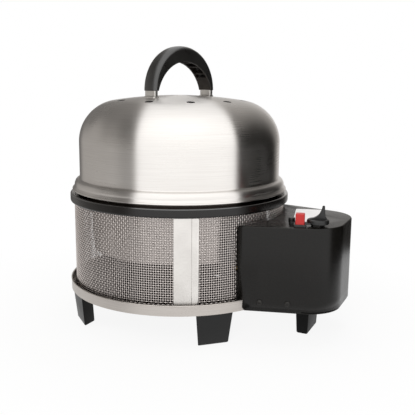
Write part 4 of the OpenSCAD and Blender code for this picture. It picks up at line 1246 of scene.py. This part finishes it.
# %% [markdown]
# Four screws with domed heads hold the cover to its floor. A head is turned, and
# the cross for the driver is pressed into it. Bump in the material could fake the
# cross, but it would be gone in the exported mesh, so a Boolean cuts it.

# %% Screw head
SCREW_R, SCREW_H, SCREW_BRIM, DOME_STEPS = 4.0, 2.4, 0.5, 6
CROSS_W, CROSS_L, CROSS_LOW = 0.8, 2.1, 1.2
dome = [(0, 0), (SCREW_R, 0), (SCREW_R, SCREW_BRIM)]
for k in range(1, DOME_STEPS):
    a = math.pi / 2 * k / DOME_STEPS
    dome.append((SCREW_R * math.cos(a), SCREW_BRIM + (SCREW_H - SCREW_BRIM) * math.sin(a)))
dome.append((0, SCREW_H))
half = CROSS_W / 2
cross, arm = [], [(half, half), (CROSS_L, half), (CROSS_L, -half)]
for quarter in range(4):
    cross += arm
    arm = [(y, -x) for x, y in arm]
cross_rings = [[(x, y, z) for x, y in cross] for z in (CROSS_LOW, SCREW_H + 1)]
pressed = cut_by(mesh_from("head", *turned(dome, 32)), mesh_from("cross", *loft(cross_rings)))
head_points = [tuple(v.co / MM) for v in pressed.vertices]
head_faces = [tuple(f.vertices) for f in pressed.polygons]
print("screw head:", len(head_faces), "faces")

# %% [markdown]
# The heads sit on the box's two slanting sides, two in front and their mirror images
# behind. They could be turned by angles, but a matrix of three directions, along the
# side, up and outwards, says at once how a head stands on its wall.

# %% Cover screws
SCREW_Z, SCREW_ALONG, CORNER_POINT = 56.8, (22.05, 58.8), 5
corner_start = Vector(box_half(0)[CORNER_POINT])
wall_out = Vector((math.sin(BOX_SLANT), -math.cos(BOX_SLANT), 0))
wall_along = Vector((math.cos(BOX_SLANT), math.sin(BOX_SLANT), 0))
on_wall = Matrix((wall_along, UP, wall_out)).transposed()
screw_parts = []
for side in (-1, 1):
    for along in SCREW_ALONG:
        at = corner_start + TO_BASKET * along
        placed = [on_wall @ Vector(p) + Vector((at.x, at.y, SCREW_Z)) for p in head_points]
        screw_parts.append(([(p.x, p.y * -side, p.z) for p in placed], head_faces))
put("cover_heads", mesh_from("cover_heads", *joined(*screw_parts), sharp=35), "body",
    "dark_fastener", black_oxide_and_shade, "cover_screws")

# %% [markdown]
# ## The gas knob
# The knob is a disc with a pointer and a tall swept fin to hold. It turns, so it is
# its own piece on its own body. The fin could be an extruded curve. Here its side
# view is drawn with one smooth curve and lofted, because the outer rings can then be
# a little smaller, which rounds its edges.

# %% Knob fin
KNOB_R, KNOB_H = 14.5, 6.0
FIN_H, FIN_T, FIN_EDGE, FIN_MIDDLE, FIN_IN = 18.0, 4.0, 0.5, 2.0, 0.5
sweep = drawn_curve(Vector((-KNOB_R + 1.5, 1)), Vector((-4, 2.5)), Vector((4, 5)),
                    Vector((6.2, FIN_H)), 14)
fin_side = [(-KNOB_R + 1.5, 0)] + sweep
fin_side += [(8.2, FIN_H), (8.7, 9.0), (9.4, 4), (KNOB_R - 2, 0)]


def fin_ring(y, inset):
    """The fin's side view at one depth, drawn in towards its middle by an inset."""
    ring = []
    for u, v in fin_side:
        inwards = math.copysign(min(inset, abs(u - FIN_MIDDLE)), u - FIN_MIDDLE)
        ring.append((u - inwards, y, KNOB_H - FIN_IN + max(v - inset, 0)))
    return ring


fin_points, fin_faces = loft([fin_ring(-FIN_T / 2, FIN_EDGE), fin_ring(-FIN_T / 2 + FIN_EDGE, 0),
                              fin_ring(0, 0), fin_ring(FIN_T / 2 - FIN_EDGE, 0),
                              fin_ring(FIN_T / 2, FIN_EDGE)])
print("fin:", len(fin_faces), "faces,", FIN_H, "mm tall")

# %% [markdown]
# The disc has a hole for the tap's spindle, closed by a cap just under its upper
# face. Both are turned, as on a lathe. A cylinder with a bevel would be the quick way,
# but without the hole. Fin and pointer stand as they do in the photograph.

# %% Knob
KNOB_AT, FIN_AT, POINTER_AT, BORE_R = (222.5, -46.4, 162.5), 26.0, -129.0, 3.02
CAP_R, CAP_LOW, CAP_HIGH, POINTER_Z = 3.6, KNOB_H - 0.8, KNOB_H - 0.05, (0.2, 2.6)
disc = eased([(BORE_R, 0.0), (KNOB_R - 0.4, 0.0), (KNOB_R, 1.2), (KNOB_R, KNOB_H - 1.4),
              (KNOB_R - 1.4, KNOB_H), (BORE_R, KNOB_H)], 0.6, 3)
cap = [(0, CAP_LOW), (CAP_R, CAP_LOW), (CAP_R, CAP_HIGH), (0, CAP_HIGH)]
pointer = eased([(8, -5), (KNOB_R + 5, -0.8), (KNOB_R + 5, 0.8), (8, 5)], 0.7)
pointer_points, pointer_faces = loft([[(x, y, z) for x, y in pointer] for z in POINTER_Z])
knob_points, knob_faces = joined(turned(disc, 64), turned(cap, 32),
                                 (turned_to(fin_points, FIN_AT), fin_faces),
                                 (turned_to(pointer_points, POINTER_AT), pointer_faces))
put("gas_knob", mesh_from("gas_knob", turned_to(knob_points, 0, KNOB_AT), knob_faces, 35),
    "knob", "black_plastic", knob_moulding, "control_knob")

# %% [markdown]
# ## The igniter button
# A square red push button with a shallow hollow for the finger. Insetting and moving
# a cube's top face by hand would give it. Here the rings of a loft go up the sides,
# round the rim and down into the hollow, so that each step is a number that can be
# changed. The button slides, so it rides on its own body.

# %% Button
BUTTON_AT, BUTTON_W, BUTTON_CORNER = (201.2, -55.7, 159.0), 12.0, 1.6
BUTTON_LOW, BUTTON_H = -12.0, 17.0
# Each row: how far its outline is drawn in, and its height.
BUTTON_ROWS = (
    (0, BUTTON_LOW), (0, BUTTON_H - 1.4), (0.15, BUTTON_H - 0.6), (0.6, BUTTON_H - 0.15),
    (1.3, BUTTON_H), (2.2, BUTTON_H - 0.1), (3.6, BUTTON_H - 0.35), (5.2, BUTTON_H - 0.45))
button_rings = []
for inset, z in BUTTON_ROWS:
    w = BUTTON_W - 2 * inset
    button_rings.append([(x, y, z) for x, y in rounded_rect(w, w, min(BUTTON_CORNER, w * 0.3))])
button_points, button_faces = loft(button_rings)
put("igniter_push", mesh_from("igniter_push", turned_to(button_points, BOX_SIDE, BUTTON_AT),
                              button_faces, 35),
    "button", "red_plastic", button_red, "igniter_button")

# %% [markdown]
# The button slides in a black frame with a small round boss beside it. A Boolean
# could cut the hole, but would leave its rim sharp. So the frame is a loft that goes
# up its outside, over the top and down the hole, and closes on itself. A bridge joins
# it to the boss.

# %% Button frame
COLLAR_W, HOLE_W, COLLAR_H = 16.4, 12.6, 3.2
BOSS_AT, BOSS_R, BOSS_H = (-COLLAR_W / 2 - 3.5, COLLAR_W + 3.6), 4.5, 7.0
BRIDGE_AT, BRIDGE_W, BRIDGE_L, BRIDGE_H = (-9.7, 13.1), 7, 13.8, COLLAR_H - 0.2
outside = rounded_rect(COLLAR_W, COLLAR_W, r=1.5)
hole = rounded_rect(HOLE_W, HOLE_W, r=1.6)
# Each row: its outline, how much that is scaled, and its height.
collar_rows = ((outside, 1, 0.0), (outside, 1, COLLAR_H - 0.6), (outside, 0.965, COLLAR_H),
               (hole, 1.02, COLLAR_H), (hole, 1, 0.0))
collar_rings = [[(x * size, y * size, z) for x, y in outline] for outline, size, z in collar_rows]
boss = eased([(0, 0), (BOSS_R, 0), (BOSS_R, BOSS_H), (0, BOSS_H)], 0.8, 3)
bridge = rounded_rect(BRIDGE_W, BRIDGE_L, r=0.6)
bridge_rings = [[(x + BRIDGE_AT[0], y + BRIDGE_AT[1], z) for x, y in bridge]
                for z in (0.0, BRIDGE_H)]
collar_points, collar_faces = joined(loft(collar_rings, looped=True), turned(boss, 40, BOSS_AT),
                                     loft(bridge_rings))
put("igniter_frame", mesh_from("igniter_frame", turned_to(collar_points, BOX_SIDE, BUTTON_AT),
                               collar_faces, 35),
    "body", "black_plastic", knob_moulding, "igniter_collar")

# %% [markdown]
# ## The control plate
# A plain pale plate with round corners lies on the box behind the knob. It is thin,
# but a bare rectangle would have no edge to catch light, so its upper rim is set in
# by a quarter of a millimetre.

# %% Control plate
PANEL_AT, PANEL_W, PANEL_L, PANEL_T = (192.5, 16.0, 159.0), 38.0, 88.0, 0.8
PANEL_CORNER, PANEL_RIM = 3.0, 0.25
panel_rings = []
for inset, z in ((0, 0.0), (0, PANEL_T - PANEL_RIM), (PANEL_RIM, PANEL_T)):
    outline = rounded_rect(PANEL_W - 2 * inset, PANEL_L - 2 * inset, PANEL_CORNER)
    panel_rings.append([(x, y, z) for x, y in outline])
panel_points, panel_faces = loft(panel_rings)
put("pale_plate", mesh_from("pale_plate", turned_to(panel_points, BOX_SIDE, PANEL_AT),
                            panel_faces, 35),
    "body", "panel_white", plate_white, "control_plate")

# %% [markdown]
# ## Solids that stay
# The pieces inside and below have the right shape already. They could be rebuilt, too,
# but few views would show the difference. So they keep their CAD meshes and only
# change their finish: thin sheet around the burner, zinc on the fasteners, brass
# where the gas flows.

# %% Finishes of the remaining solids
FINISH_OF = {
    band_steel: ("base_tray",),
    bowl_sheet: ("bowl_rim", "inner_bowl", "bowl_floor", "bowl_cone"),
    # Shroud and heat shield: heat tint, with painted shade of the basket's inside.
    heat_and_shade_sheet: ("burner_shroud", "heat_shield"),
    burnt_steel: ("burner_stand", "burner_head", "burner_cap", "mixing_tube", "foot_nuts"),
    plain_steel: ("box_arm", "tap_spindle"),
    zinc: ("foot_screws", "handle_screws", "arm_rivets", "electrode_pin"),
    # The tap's nut is painted black: painted shade below the knob's disc.
    black_oxide_and_shade: ("tap_nut",),
    brass: ("injector", "gas_pipe", "feed_pipe", "tap_body", "regulator_head"),
    ceramic: ("electrode_insulator", "igniter_body"),
    sleeve: ("ignition_lead",),
    can_paint: ("gas_cartridge",),
    grill_coat: ("grill_plate",),
    box_paint: ("box_floor",),
}
for material, names in FINISH_OF.items():
    for name in names:
        slots = frame["nodes"][name].data.materials
        slots.clear()
        slots.append(material)
print("solids that stay:", sum(len(names) for names in FINISH_OF.values()))

# %% [markdown]
